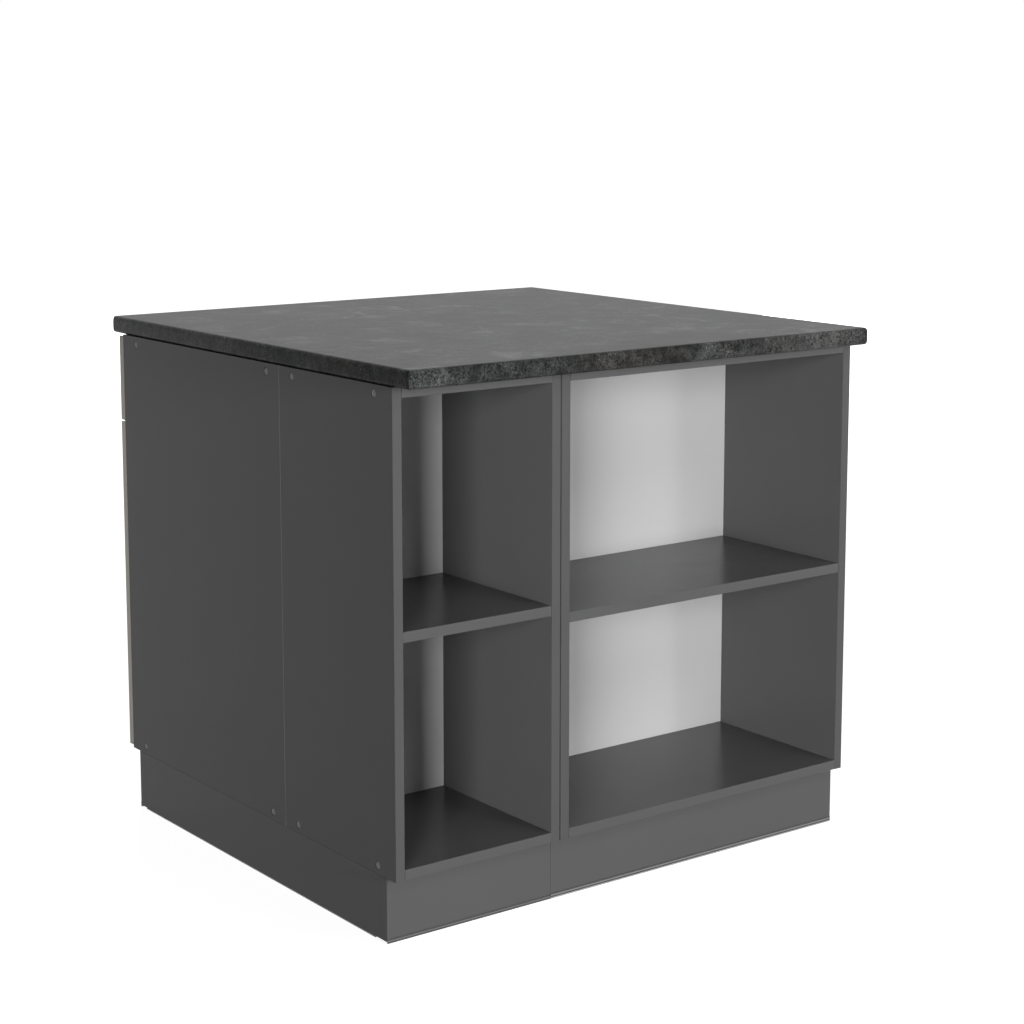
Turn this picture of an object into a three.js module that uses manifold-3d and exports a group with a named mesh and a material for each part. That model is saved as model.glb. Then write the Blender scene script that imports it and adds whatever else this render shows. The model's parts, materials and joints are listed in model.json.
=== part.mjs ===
// Kitchen island unit: four cabinets stand back to back under one square worktop.
// Two open shelf cabinets face -Y. A door cabinet and a cabinet with a drawer over two doors face +Y.
// Millimetres, +Z up. The origin is on the floor, under the middle of the worktop.

import * as THREE from 'three';
import { mergeVertices } from 'three/addons/utils/BufferGeometryUtils.js';
import Module from 'manifold-3d';

// ---- Driving dimensions -----------------------------------------------------------------------

const SEAT = 0.3;                    // gap left between pieces that bear on each other

// Cabinets, made of laminated board
const BOARD = 16;
const BAND_RADIUS = 1;               // rounding of the banded front edges
const NARROW_WIDTH = 299;
const WIDE_WIDTH = 599;
const CABINET_GAP = 2;               // between cabinets side by side
const ROW_GAP = 1;                   // between cabinets back to back
const OPEN_DEPTH = 306;
const BASE_DEPTH = 510;
const CARCASS_HEIGHT = 720;
const RAIL_WIDTH = 96;               // flat rails that tie the tops of the base cabinets

// Shelves, measured from the underside of the carcass to the top of the shelf
const OPEN_NARROW_SHELF = 368;
const OPEN_WIDE_SHELF = 353.5;
const BASE_NARROW_SHELF = 358;
const BASE_WIDE_SHELF = 298;
const OPEN_SHELF_SETBACK = 1;
const BASE_SHELF_SETBACK = 20;
const SHELF_REAR_PLAY = 1;
const PIN_RADIUS = 2.5;
const PIN_REACH = 8;
const PIN_ROOT = 3;                  // length of a shelf pin inside its panel
const PIN_INSET = 37;                // from the front and rear edges of the shelf

// Seats of the screw caps in the outer faces of the side panels
const CAP_SEAT_RADIUS = 6.2;
const CAP_SEAT_DEPTH = 1;
const SCREW_FROM_END = 13;           // from the top and the foot of the panel
const SCREW_FROM_FRONT = 47;
const SCREW_FROM_REAR = 37;

// Back panels, thin board held in grooves
const BACK = 4;
const BACK_SETBACK = 18;
const GROOVE_DEPTH = 8;

// Worktop
const WORKTOP = 28;
const OVERHANG_OPEN = 41.5;
const OVERHANG_DOORS = 41.5;
const WORKTOP_EDGE_RADIUS = 3;
const WORKTOP_CORNER_RADIUS = 4;

// Plinth and legs
const PLINTH_HEIGHT = 100;
const PLINTH_RECESS = 24;
const PLINTH_FLOOR_GAP = 3;
const PLINTH_JOINT = 0.6;
const LEG_FOOT_RADIUS = 22;
const LEG_FOOT_HEIGHT = 6;
const LEG_STEM_RADIUS = 14;
const LEG_SOCKET_RADIUS = 19;
const LEG_SOCKET_HEIGHT = 38;
const LEG_COLLAR_RADIUS = 22;        // ring at the mouth of the socket
const LEG_COLLAR_HEIGHT = 7;
const LEG_FLANGE_RADIUS = 30;
const LEG_FLANGE = 3;
const LEG_REAR_INSET = 50;
const LEG_ROOT = 1;                  // how far a leg's flange is let into its board
const CLIP_REACH = 34;               // from the back of a plinth board to the middle of its leg
const CLIP_WALL = 2.5;
const CLIP_HEIGHT = 14;
const CLIP_LEVEL = 32;               // underside of the clips above the floor
const CLIP_MOUTH = 0.9;              // half angle of the clip's open side, in radians

// Fronts, milled from one board with a slim raised frame
const FRONT = 16;
const FRONT_GAP = 1.5;               // between the fronts and the carcass
const FRONT_REVEAL = 1.5;            // each front's share of the gap to its neighbour
const FRONT_TOP_REVEAL = 3.5;
const FRONT_HEIGHT = 713;
const DRAWER_FRONT_HEIGHT = 143;
const FRONT_EDGE_RADIUS = 2;
const FRAME_WIDTH = 27;
const FRAME_STEP = 0.9;
const BEVEL_WIDTH = 12;
const PANEL_RECESS = 3;

// Handles, folded plates on the top edges of the fronts
const HANDLE_LENGTH = 86;
const HANDLE_PLATE = 1.5;
const HANDLE_REACH = 14;
const HANDLE_LIP = 10;
const HANDLE_SEAT_DEPTH = 13;
const HANDLE_BEND = 2;
const HANDLE_END_INSET = 22;         // from the meeting edge of a pair of doors

// Cup hinges
const HINGE_INSET = 95;              // from the ends of a door to the middle of its hinges
const HINGE_AXIS_IN = 4;             // swing axis from the door's hinged edge
const HINGE_AXIS_DEEP = 12;          // swing axis in front of the door's rear face
const CUP_RADIUS = 17.2;
const CUP_CENTRE = 22.5;             // from the door's hinged edge
const CUP_DEPTH = 11.6;
const CUP_WALL = 1.2;
const CUP_FLANGE = 0.8;
const CUP_WING_LENGTH = 62;
const CUP_WING_WIDTH = 20;
const ARM_OFFSET = 2;                // from the side panel to the arm
const ARM_DEPTH = 9;
const ARM_WIDTH = 13;
const ARM_LENGTH = 60;
const ARM_NOSE = 5;                  // how far the arm reaches past the door's rear face
const ARM_NECK = 4;
const ARM_PLATE = 2.5;
const ARM_PLATE_LENGTH = 30;
const ARM_PLATE_HEIGHT = 48;
const ARM_PLATE_START = 22;

// Drawer with folded steel sides that run on rails
const STEEL = 1.2;
const RUNNER_SPACE = 13;             // from the side panel to the drawer side
const RUNNER_START = 4;              // from the carcass front edge to the rails
const RUNNER_REAR_PLAY = 34;         // from the rails to the back panel
const DRAWER_SETBACK = 15;           // drawer sides end this far short of the rails
const RUNNER_REACH = 9;
const RUNNER_DROP = 5;
const RUNNER_LEVEL = 16;             // runner above the foot of the drawer side
const RAIL_LIP = 11;
const RAIL_RETURN = 4;
const RAIL_HOOD = 8;
const DRAWER_RISE = 17;              // foot of the drawer side above the front's lower edge
const DRAWER_SIDE_HEIGHT = 86;
const DRAWER_FLANGE = 12;
const DRAWER_HEM = 6;
const DRAWER_LUG = 16;               // lug turned in behind the drawer front, for its screws
const LUG_CORNER = 3;
const DRAWER_BACK_HEIGHT = 62;

// Facets of round pieces
const ROUND_SIDES = 10;
const CLIP_SEGMENTS = 12;
const CUP_SIDES = 32;
const PIN_SIDES = 8;

// ---- Derived sizes ----------------------------------------------------------------------------

const ISLAND_WIDTH = NARROW_WIDTH + CABINET_GAP + WIDE_WIDTH;
const ISLAND_DEPTH = OPEN_DEPTH + ROW_GAP + BASE_DEPTH;
const WORKTOP_DEPTH = ISLAND_DEPTH + OVERHANG_OPEN + OVERHANG_DOORS;
const OPEN_FRONT_Y = OVERHANG_OPEN - WORKTOP_DEPTH / 2;
const BASE_FRONT_Y = WORKTOP_DEPTH / 2 - OVERHANG_DOORS;
const WIDE_START = NARROW_WIDTH + CABINET_GAP;
const FRONT_BOTTOM = CARCASS_HEIGHT - FRONT_TOP_REVEAL - FRONT_HEIGHT;
const LOW_DOOR_HEIGHT = FRONT_HEIGHT - DRAWER_FRONT_HEIGHT - 2 * FRONT_REVEAL;
const LEG_SIDE_INSET = BOARD + CLIP_REACH;
const LEG_FRONT_INSET = PLINTH_RECESS + BOARD + CLIP_REACH;
const RAIL_END = BASE_DEPTH - BACK_SETBACK - BACK - RUNNER_REAR_PLAY;

// ---- Materials --------------------------------------------------------------------------------

const finish = (color, roughness, metalness = 0) =>
  new THREE.MeshStandardMaterial({ color, roughness, metalness });
const graphite = finish(0x4a4a4b, 0.6);
const stone = finish(0x515151, 0.5);
const paleBoard = finish(0xd2d2d2, 0.7);
const greige = finish(0xb6b0a8, 0.5);
const blackMetal = finish(0x161616, 0.4, 0.6);
const steel = finish(0xb9bbbd, 0.35, 0.9);
const drawerSteel = finish(0x8f9194, 0.45, 0.7);

// ---- Shape helpers ----------------------------------------------------------------------------

const wasm = await Module();
wasm.setup();

/** Closed outline through corners [u, v, r]; a corner with a radius r is rounded. */
function outline(corners) {
  const shape = new THREE.Shape();
  corners.forEach(([u, v, radius = 0], i) => {
    const corner = new THREE.Vector2(u, v);
    const towards = ([nextU, nextV]) =>
      new THREE.Vector2(nextU, nextV).sub(corner).setLength(radius).add(corner);
    const before = towards(corners.at(i - 1));
    const after = towards(corners[(i + 1) % corners.length]);
    if (i === 0) shape.moveTo(before.x, before.y);
    else shape.lineTo(before.x, before.y);
    if (radius > 0) shape.quadraticCurveTo(u, v, after.x, after.y);
  });
  shape.closePath();
  return shape;
}

const X_AXIS = new THREE.Vector3(1, 0, 0);
const Y_AXIS = new THREE.Vector3(0, 1, 0);
const Z_AXIS = new THREE.Vector3(0, 0, 1);

/** Runs an outline straight along x (drawn in y, z), y (drawn in x, z) or z (drawn in x, y). */
function extrude(shape, axis, from, to) {
  const geometry = new THREE.ExtrudeGeometry(shape, {
    depth: to - from,
    bevelEnabled: false,
    curveSegments: 3,
  });
  if (axis === 'x') {
    const turn = new THREE.Matrix4().makeBasis(Y_AXIS, Z_AXIS, X_AXIS);
    return geometry.applyMatrix4(turn).translate(from, 0, 0);
  }
  if (axis === 'y') {
    const turn = new THREE.Matrix4().makeBasis(X_AXIS, Z_AXIS, Y_AXIS.clone().negate());
    return geometry.applyMatrix4(turn).translate(0, to, 0);
  }
  return geometry.translate(0, 0, from);
}

/** A round bar that starts at a point and runs along +x, +y or +z. */
function rod(radius, length, axis, start, sides) {
  const bar = new THREE.CylinderGeometry(radius, radius, length, sides).translate(0, length / 2, 0);
  if (axis === 'x') bar.rotateZ(-Math.PI / 2);
  if (axis === 'z') bar.rotateX(Math.PI / 2);
  return bar.translate(...start);
}

/** The closed solid inside a geometry, for joins and cuts. */
function solid(geometry) {
  const bare = geometry.clone();
  bare.deleteAttribute('normal');
  bare.deleteAttribute('uv');
  const merged = mergeVertices(bare, 1e-4);
  const corners = merged.index.array;
  const faces = [];
  for (let i = 0; i < corners.length; i += 3) {
    const [a, b, c] = corners.slice(i, i + 3);
    if (a !== b && b !== c && c !== a) faces.push(a, b, c);
  }
  const vertProperties = new Float32Array(merged.attributes.position.array);
  return new wasm.Manifold(new wasm.Mesh({ numProp: 3, vertProperties, triVerts: new Uint32Array(faces) }));
}

/** The surface of a solid, as a geometry with flat faces. */
function surface(body) {
  const { vertProperties, triVerts } = body.getMesh();
  const geometry = new THREE.BufferGeometry();
  geometry.setAttribute('position', new THREE.BufferAttribute(vertProperties, 3));
  geometry.setIndex(new THREE.BufferAttribute(triVerts, 1));
  const flat = geometry.toNonIndexed();
  flat.computeVertexNormals();
  return flat;
}

const fuse = (first, ...others) =>
  surface(others.reduce((sum, next) => sum.add(solid(next)), solid(first)));
const cut = (first, ...tools) =>
  surface(tools.reduce((rest, tool) => rest.subtract(solid(tool)), solid(first)));

/** Maps a distance from a cabinet's left face, or from its right face, to x. */
const fromLeft = (x) => x;
const fromRight = (width) => (x) => width - x;

function add(parent, name, geometry, material) {
  const mesh = new THREE.Mesh(geometry, material);
  mesh.name = name;
  parent.add(mesh);
  return mesh;
}

// ---- Carcass ----------------------------------------------------------------------------------

/** Where the back panel stands in a cabinet of this depth, and the groove that holds it. */
function backPlane(depth) {
  const rear = depth - BACK_SETBACK;
  const front = rear - BACK;
  return { front, rear, grooveFront: front - SEAT, grooveRear: rear + SEAT };
}

/** Side panel with its groove, the pins that carry the shelf, and the seats of its screw caps. */
function sidePanel(across, depth, shelf) {
  const { grooveFront, grooveRear } = backPlane(depth);
  const grooveFloor = BOARD - GROOVE_DEPTH;
  const plan = outline([
    [across(0), 0, BAND_RADIUS],
    [across(BOARD), 0, BAND_RADIUS],
    [across(BOARD), grooveFront],
    [across(grooveFloor), grooveFront],
    [across(grooveFloor), grooveRear],
    [across(BOARD), grooveRear],
    [across(BOARD), depth],
    [across(0), depth],
  ]);
  const pinStart = Math.min(across(BOARD - PIN_ROOT), across(BOARD + PIN_REACH));
  const pinLevel = shelf.top - BOARD - SEAT - PIN_RADIUS;
  const pins = [shelf.front + PIN_INSET, shelf.rear - PIN_INSET].map((y) =>
    rod(PIN_RADIUS, PIN_ROOT + PIN_REACH, 'x', [pinStart, y, pinLevel], PIN_SIDES));
  const board = fuse(extrude(plan, 'z', 0, CARCASS_HEIGHT), ...pins);
  return cut(board, ...capSeats(across, depth));
}

/** Shallow round seats over the screws that hold the top and the bottom between the sides. */
function capSeats(across, depth) {
  const start = Math.min(across(-CAP_SEAT_DEPTH), across(CAP_SEAT_DEPTH));
  const levels = [SCREW_FROM_END, CARCASS_HEIGHT - SCREW_FROM_END];
  return [SCREW_FROM_FRONT, depth - SCREW_FROM_REAR].flatMap((y) => levels.map((z) =>
    rod(CAP_SEAT_RADIUS, 2 * CAP_SEAT_DEPTH, 'x', [start, y, z], ROUND_SIDES)));
}

/** A board between the sides; grooveSide is +1 for a groove in its top, -1 in its underside. */
function groovedBoard(width, depth, underside, grooveSide) {
  const { grooveFront, grooveRear } = backPlane(depth);
  const top = underside + BOARD;
  const face = grooveSide > 0 ? top : underside;
  const other = grooveSide > 0 ? underside : top;
  const grooveFloor = face - grooveSide * GROOVE_DEPTH;
  const section = outline([
    [0, other, BAND_RADIUS],
    [0, face, BAND_RADIUS],
    [grooveFront, face],
    [grooveFront, grooveFloor],
    [grooveRear, grooveFloor],
    [grooveRear, face],
    [depth, face],
    [depth, other],
  ]);
  return extrude(section, 'x', BOARD + SEAT, width - BOARD - SEAT);
}

/** A plain board between the sides, from front to rear, with a banded front edge. */
function plainBoard(width, front, rear, underside) {
  const section = outline([
    [front, underside, BAND_RADIUS],
    [front, underside + BOARD, BAND_RADIUS],
    [rear, underside + BOARD],
    [rear, underside],
  ]);
  return extrude(section, 'x', BOARD + SEAT, width - BOARD - SEAT);
}

/** Thin back panel that runs into the grooves of the sides and of the bottom board. */
function backPanel(width, depth, top) {
  const { front, rear } = backPlane(depth);
  const edge = BOARD - GROOVE_DEPTH + SEAT;
  const plan = outline([[edge, front], [width - edge, front], [width - edge, rear], [edge, rear]]);
  return extrude(plan, 'z', edge, top);
}

/** Adjustable leg under (x, y), turned about its own axis, with its flange let into the bottom board. */
function leg(x, y) {
  const top = PLINTH_HEIGHT + LEG_ROOT;
  const socketFoot = PLINTH_HEIGHT - LEG_SOCKET_HEIGHT;
  const profile = [
    [0, 0],
    [LEG_FOOT_RADIUS, 0],
    [LEG_FOOT_RADIUS, LEG_FOOT_HEIGHT],
    [LEG_STEM_RADIUS, LEG_FOOT_HEIGHT + LEG_FOOT_RADIUS - LEG_STEM_RADIUS],
    [LEG_STEM_RADIUS, socketFoot],
    [LEG_COLLAR_RADIUS, socketFoot],
    [LEG_COLLAR_RADIUS, socketFoot + LEG_COLLAR_HEIGHT],
    [LEG_SOCKET_RADIUS, socketFoot + LEG_COLLAR_HEIGHT],
    [LEG_SOCKET_RADIUS, PLINTH_HEIGHT - LEG_FLANGE],
    [LEG_FLANGE_RADIUS, PLINTH_HEIGHT - LEG_FLANGE],
    [LEG_FLANGE_RADIUS, top],
    [0, top],
  ].map(([radius, height]) => new THREE.Vector2(radius, height));
  const turned = new THREE.LatheGeometry(profile, ROUND_SIDES).rotateX(Math.PI / 2);
  return turned.translate(x, y, -PLINTH_HEIGHT);
}

/** Bottom board with its groove and its four legs. */
function bottomBoard(width, depth) {
  const legs = [LEG_SIDE_INSET, width - LEG_SIDE_INSET].flatMap((x) =>
    [LEG_FRONT_INSET, depth - LEG_REAR_INSET].map((y) => leg(x, y)));
  return fuse(groovedBoard(width, depth, 0, +1), ...legs);
}

function addSides(cabinet, name, width, depth, shelf) {
  add(cabinet, `${name}_side_left`, sidePanel(fromLeft, depth, shelf), graphite);
  add(cabinet, `${name}_side_right`, sidePanel(fromRight(width), depth, shelf), graphite);
}

/** Open shelf cabinet: origin at its lower left front corner, front towards -y. */
function openCabinet(name, width, shelfTop) {
  const cabinet = new THREE.Group();
  const shelf = {
    top: shelfTop,
    front: OPEN_SHELF_SETBACK,
    rear: backPlane(OPEN_DEPTH).front - SHELF_REAR_PLAY,
  };
  const lid = CARCASS_HEIGHT - BOARD;
  addSides(cabinet, name, width, OPEN_DEPTH, shelf);
  add(cabinet, `${name}_top`, groovedBoard(width, OPEN_DEPTH, lid, -1), graphite);
  add(cabinet, `${name}_bottom`, bottomBoard(width, OPEN_DEPTH), graphite);
  add(cabinet, `${name}_shelf`, plainBoard(width, shelf.front, shelf.rear, shelf.top - BOARD), graphite);
  add(cabinet, `${name}_back`, backPanel(width, OPEN_DEPTH, lid + GROOVE_DEPTH - SEAT), paleBoard);
  return cabinet;
}

/** Base cabinet: the same carcass, with two flat rails in place of a top board. */
function baseCabinet(name, width, shelfTop) {
  const cabinet = new THREE.Group();
  const backFront = backPlane(BASE_DEPTH).front;
  const railRear = backFront - SEAT;
  const shelf = { top: shelfTop, front: BASE_SHELF_SETBACK, rear: backFront - SHELF_REAR_PLAY };
  const lid = CARCASS_HEIGHT - BOARD;
  addSides(cabinet, name, width, BASE_DEPTH, shelf);
  add(cabinet, `${name}_rail_front`, plainBoard(width, 0, RAIL_WIDTH, lid), graphite);
  add(cabinet, `${name}_rail_back`, plainBoard(width, railRear - RAIL_WIDTH, railRear, lid), graphite);
  add(cabinet, `${name}_bottom`, bottomBoard(width, BASE_DEPTH), graphite);
  add(cabinet, `${name}_shelf`, plainBoard(width, shelf.front, shelf.rear, shelf.top - BOARD), graphite);
  add(cabinet, `${name}_back`, backPanel(width, BASE_DEPTH, CARCASS_HEIGHT), paleBoard);
  return cabinet;
}

// ---- Plinth -----------------------------------------------------------------------------------

/** Snap clip round a leg's stem at (x, y); heading is the way from the leg to the plinth board. */
function plinthClip(x, y, heading) {
  const inner = LEG_STEM_RADIUS + SEAT;
  const outer = inner + CLIP_WALL;
  const ring = new THREE.Shape();
  ring.absarc(0, 0, outer, Math.PI + CLIP_MOUTH, 3 * Math.PI - CLIP_MOUTH, false);
  ring.absarc(0, 0, inner, 3 * Math.PI - CLIP_MOUTH, Math.PI + CLIP_MOUTH, true);
  ring.closePath();
  const half = 2 * CLIP_WALL;
  const middle = (inner + outer) / 2;
  const end = CLIP_REACH + CLIP_WALL;
  const tail = outline([[middle, -half], [end, -half], [end, half], [middle, half]]);
  const base = CLIP_LEVEL - PLINTH_HEIGHT;
  const arc = new THREE.ExtrudeGeometry(ring, {
    depth: CLIP_HEIGHT,
    bevelEnabled: false,
    curveSegments: CLIP_SEGMENTS,
  });
  const clip = fuse(arc.translate(0, 0, base), extrude(tail, 'z', base, base + CLIP_HEIGHT));
  return clip.rotateZ(heading).translate(x, y, 0);
}

/** Plinth board with its clips; sizes are along x and y, heights from the carcass underside. */
function plinthBoard(x0, x1, y0, y1, clips) {
  const plan = outline([[x0, y0], [x1, y0], [x1, y1], [x0, y1]]);
  const board = extrude(plan, 'z', PLINTH_FLOOR_GAP - PLINTH_HEIGHT, -SEAT);
  return fuse(board, ...clips.map(({ x, y, heading }) => plinthClip(x, y, heading)));
}

/** Front plinth board of a cabinet that starts at x = start in its row. */
function frontPlinth(start, width, firstInRow) {
  const joint = (CABINET_GAP - PLINTH_JOINT) / 2;
  const x0 = firstInRow ? start : start - joint;
  const x1 = firstInRow ? start + width + joint : start + width;
  const clips = [start + LEG_SIDE_INSET, start + width - LEG_SIDE_INSET].map((x) =>
    ({ x, y: LEG_FRONT_INSET, heading: -Math.PI / 2 }));
  return plinthBoard(x0, x1, PLINTH_RECESS, PLINTH_RECESS + BOARD, clips);
}

/** Side plinth board between the two front ones; side is -1 on the left, +1 on the right. */
function sidePlinth(side) {
  const outer = side * ISLAND_WIDTH / 2;
  const inner = outer - side * BOARD;
  const inset = PLINTH_RECESS + BOARD + SEAT;
  const legX = outer - side * LEG_SIDE_INSET;
  const heading = side > 0 ? 0 : Math.PI;
  const legRows = [
    OPEN_FRONT_Y + OPEN_DEPTH - LEG_REAR_INSET,
    BASE_FRONT_Y - BASE_DEPTH + LEG_REAR_INSET,
  ];
  const clips = legRows.map((y) => ({ x: legX, y, heading }));
  const [x0, x1] = [Math.min(outer, inner), Math.max(outer, inner)];
  return plinthBoard(x0, x1, OPEN_FRONT_Y + inset, BASE_FRONT_Y - inset, clips);
}

// ---- Fronts, handles and hinges ---------------------------------------------------------------

/** A milled front: rectangles nested from the rear rim, over the frame, down the bevel to the panel. */
function milledFront(width, height) {
  const softening = FRONT_EDGE_RADIUS * (1 - Math.SQRT1_2);
  const rims = [
    { inset: 0, rise: 0 },
    { inset: 0, rise: FRONT - FRONT_EDGE_RADIUS },
    { inset: softening, rise: FRONT - softening },
    { inset: FRONT_EDGE_RADIUS, rise: FRONT },
    { inset: FRAME_WIDTH, rise: FRONT },
    { inset: FRAME_WIDTH + FRAME_STEP, rise: FRONT - FRAME_STEP },
    { inset: FRAME_WIDTH + FRAME_STEP + BEVEL_WIDTH, rise: FRONT - PANEL_RECESS },
  ];
  const points = rims.flatMap(({ inset, rise }) => [
    inset, -rise, inset,
    width - inset, -rise, inset,
    width - inset, -rise, height - inset,
    inset, -rise, height - inset,
  ]);
  const faces = [0, 2, 1, 0, 3, 2];
  for (let rim = 0; rim < rims.length - 1; rim += 1) {
    for (let corner = 0; corner < 4; corner += 1) {
      const a = 4 * rim + corner;
      const b = 4 * rim + ((corner + 1) % 4);
      faces.push(a, b, b + 4, a, b + 4, a + 4);
    }
  }
  const last = 4 * (rims.length - 1);
  faces.push(last, last + 1, last + 2, last, last + 2, last + 3);
  const geometry = new THREE.BufferGeometry();
  geometry.setAttribute('position', new THREE.Float32BufferAttribute(points, 3));
  geometry.setIndex(faces);
  const flat = geometry.toNonIndexed();
  flat.computeVertexNormals();
  return flat;
}

/** Handle on the top edge of a front whose top is at this height; the front's rear face is y = 0. */
function handle(x0, top) {
  const seat = top + SEAT;
  const tip = -FRONT - HANDLE_REACH;
  const section = outline([
    [-FRONT + HANDLE_SEAT_DEPTH, seat],
    [-FRONT + HANDLE_SEAT_DEPTH, seat + HANDLE_PLATE],
    [tip, seat + HANDLE_PLATE, HANDLE_BEND],
    [tip, seat + HANDLE_PLATE - HANDLE_LIP],
    [tip + HANDLE_PLATE, seat + HANDLE_PLATE - HANDLE_LIP],
    [tip + HANDLE_PLATE, seat, HANDLE_BEND - HANDLE_PLATE],
  ]);
  return extrude(section, 'x', x0, x0 + HANDLE_LENGTH);
}

/** Hinge cup sunk in a door's rear face, with its screwed flange; x is measured to its centre. */
function hingeCup(x, z) {
  const wing = outline([
    [x - CUP_WING_WIDTH / 2, z - CUP_WING_LENGTH / 2, CUP_WING_WIDTH / 4],
    [x + CUP_WING_WIDTH / 2, z - CUP_WING_LENGTH / 2, CUP_WING_WIDTH / 4],
    [x + CUP_WING_WIDTH / 2, z + CUP_WING_LENGTH / 2, CUP_WING_WIDTH / 4],
    [x - CUP_WING_WIDTH / 2, z + CUP_WING_LENGTH / 2, CUP_WING_WIDTH / 4],
  ]);
  const flangeTop = SEAT + CUP_FLANGE;
  const rim = rod(CUP_RADIUS + 2 * CUP_WALL, CUP_FLANGE, 'y', [x, SEAT, z], CUP_SIDES);
  const depth = CUP_DEPTH + flangeTop;
  const pot = rod(CUP_RADIUS, depth, 'y', [x, -CUP_DEPTH, z], CUP_SIDES);
  const hollow = rod(CUP_RADIUS - CUP_WALL, depth, 'y', [x, CUP_WALL - CUP_DEPTH, z], CUP_SIDES);
  return cut(fuse(extrude(wing, 'y', SEAT, flangeTop), rim, pot), hollow);
}

/** Extrudes an outline drawn in (y, z) between two distances from a cabinet side. */
function extrudeAcross(shape, across, near, far) {
  return extrude(shape, 'x', Math.min(across(near), across(far)), Math.max(across(near), across(far)));
}

/** Mounting plate on a side panel: two screwed wings and the spine that the hinge arm clips over. */
function mountingPlate(across, z, spineTop, spineHalf) {
  const seat = BOARD + SEAT;
  const start = ARM_PLATE_START;
  const end = ARM_PLATE_START + ARM_PLATE_LENGTH;
  const inset = ARM_NECK / 2;
  const half = ARM_PLATE_HEIGHT / 2;
  const wings = outline([
    [start + inset, z - half, ARM_NECK],
    [end - inset, z - half, ARM_NECK],
    [end, z],
    [end - inset, z + half, ARM_NECK],
    [start + inset, z + half, ARM_NECK],
    [start, z],
  ]);
  const spine = outline([
    [start - inset, z - spineHalf],
    [end + inset, z - spineHalf],
    [end + inset, z + spineHalf],
    [start - inset, z + spineHalf],
  ]);
  return [
    extrudeAcross(wings, across, seat, seat + ARM_PLATE),
    extrudeAcross(spine, across, seat, spineTop),
  ];
}

/** Hinge arm, a folded channel on its mounting plate, reaching from the side panel into the cup. */
function hingeArm(across, z) {
  const near = BOARD + ARM_OFFSET;
  const far = near + ARM_DEPTH;
  const tip = -FRONT_GAP - ARM_NOSE;
  const half = ARM_WIDTH / 2;
  const plan = outline([
    [across(near), tip],
    [across(far), tip, ARM_NECK / 2],
    [across(far), ARM_LENGTH - ARM_NECK, ARM_NECK],
    [across(near + ARM_NECK), ARM_LENGTH],
    [across(near), ARM_LENGTH],
  ]);
  const rear = ARM_LENGTH - 2 * ARM_NECK;
  const channel = outline([
    [across(near - STEEL), tip - STEEL],
    [across(far - STEEL), tip - STEEL],
    [across(far - STEEL), rear, ARM_NECK / 2],
    [across(near - STEEL), rear],
  ]);
  const arm = cut(
    extrude(plan, 'z', z - half, z + half),
    extrude(channel, 'z', z - half + STEEL, z + half - STEEL),
  );
  return fuse(arm, ...mountingPlate(across, z, far - STEEL - SEAT, half - STEEL - SEAT));
}

/**
 * A door in its cabinet. The door hangs in a group whose origin lies on its swing axis, so turning
 * the group about z opens it. The hinge arms stay on the cabinet.
 */
function addDoor(cabinet, name, across, { start, width, height, handleStart }) {
  const hangsRight = across(0) > across(1);
  const hingedEdge = hangsRight ? start + width : start;
  const inward = hangsRight ? -1 : 1;
  const axis = new THREE.Vector3(hingedEdge + inward * HINGE_AXIS_IN, -FRONT_GAP - HINGE_AXIS_DEEP, 0);
  const swing = new THREE.Group();
  swing.position.copy(axis);
  cabinet.add(swing);
  const hang = (geometry) => geometry.translate(-axis.x, -FRONT_GAP - axis.y, 0);

  const cupX = hingedEdge + inward * CUP_CENTRE;
  const levels = { lower: FRONT_BOTTOM + HINGE_INSET, upper: FRONT_BOTTOM + height - HINGE_INSET };
  const bores = Object.values(levels).map((z) =>
    rod(CUP_RADIUS + SEAT, CUP_DEPTH + 2 * SEAT, 'y', [cupX, -CUP_DEPTH - SEAT, z], CUP_SIDES));
  const front = milledFront(width, height).translate(start, 0, FRONT_BOTTOM);
  add(swing, `door_${name}`, hang(cut(front, ...bores)), greige);
  add(swing, `handle_${name}`, hang(handle(handleStart, FRONT_BOTTOM + height)), blackMetal);
  for (const [level, z] of Object.entries(levels)) {
    add(swing, `hinge_cup_${name}_${level}`, hang(hingeCup(cupX, z)), steel);
    add(cabinet, `hinge_arm_${name}_${level}`, hingeArm(across, z), steel);
  }
}

// ---- Drawer -----------------------------------------------------------------------------------

/** Rail on a side panel: a folded channel that holds the drawer's runner. */
function drawerRail(across, foot) {
  const wall = BOARD + SEAT;
  const trackTop = foot + RUNNER_LEVEL - RUNNER_DROP - SEAT;
  const track = trackTop - STEEL;
  const hood = foot + RUNNER_LEVEL + STEEL + SEAT;
  const section = outline([
    [across(wall), track],
    [across(BOARD + RAIL_LIP), track],
    [across(BOARD + RAIL_LIP), trackTop + RAIL_RETURN],
    [across(BOARD + RAIL_LIP - STEEL), trackTop + RAIL_RETURN],
    [across(BOARD + RAIL_LIP - STEEL), trackTop],
    [across(wall + STEEL), trackTop],
    [across(wall + STEEL), hood],
    [across(BOARD + RAIL_HOOD), hood],
    [across(BOARD + RAIL_HOOD), hood + STEEL],
    [across(wall), hood + STEEL],
  ]);
  return extrude(section, 'y', RUNNER_START, RAIL_END);
}

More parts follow.
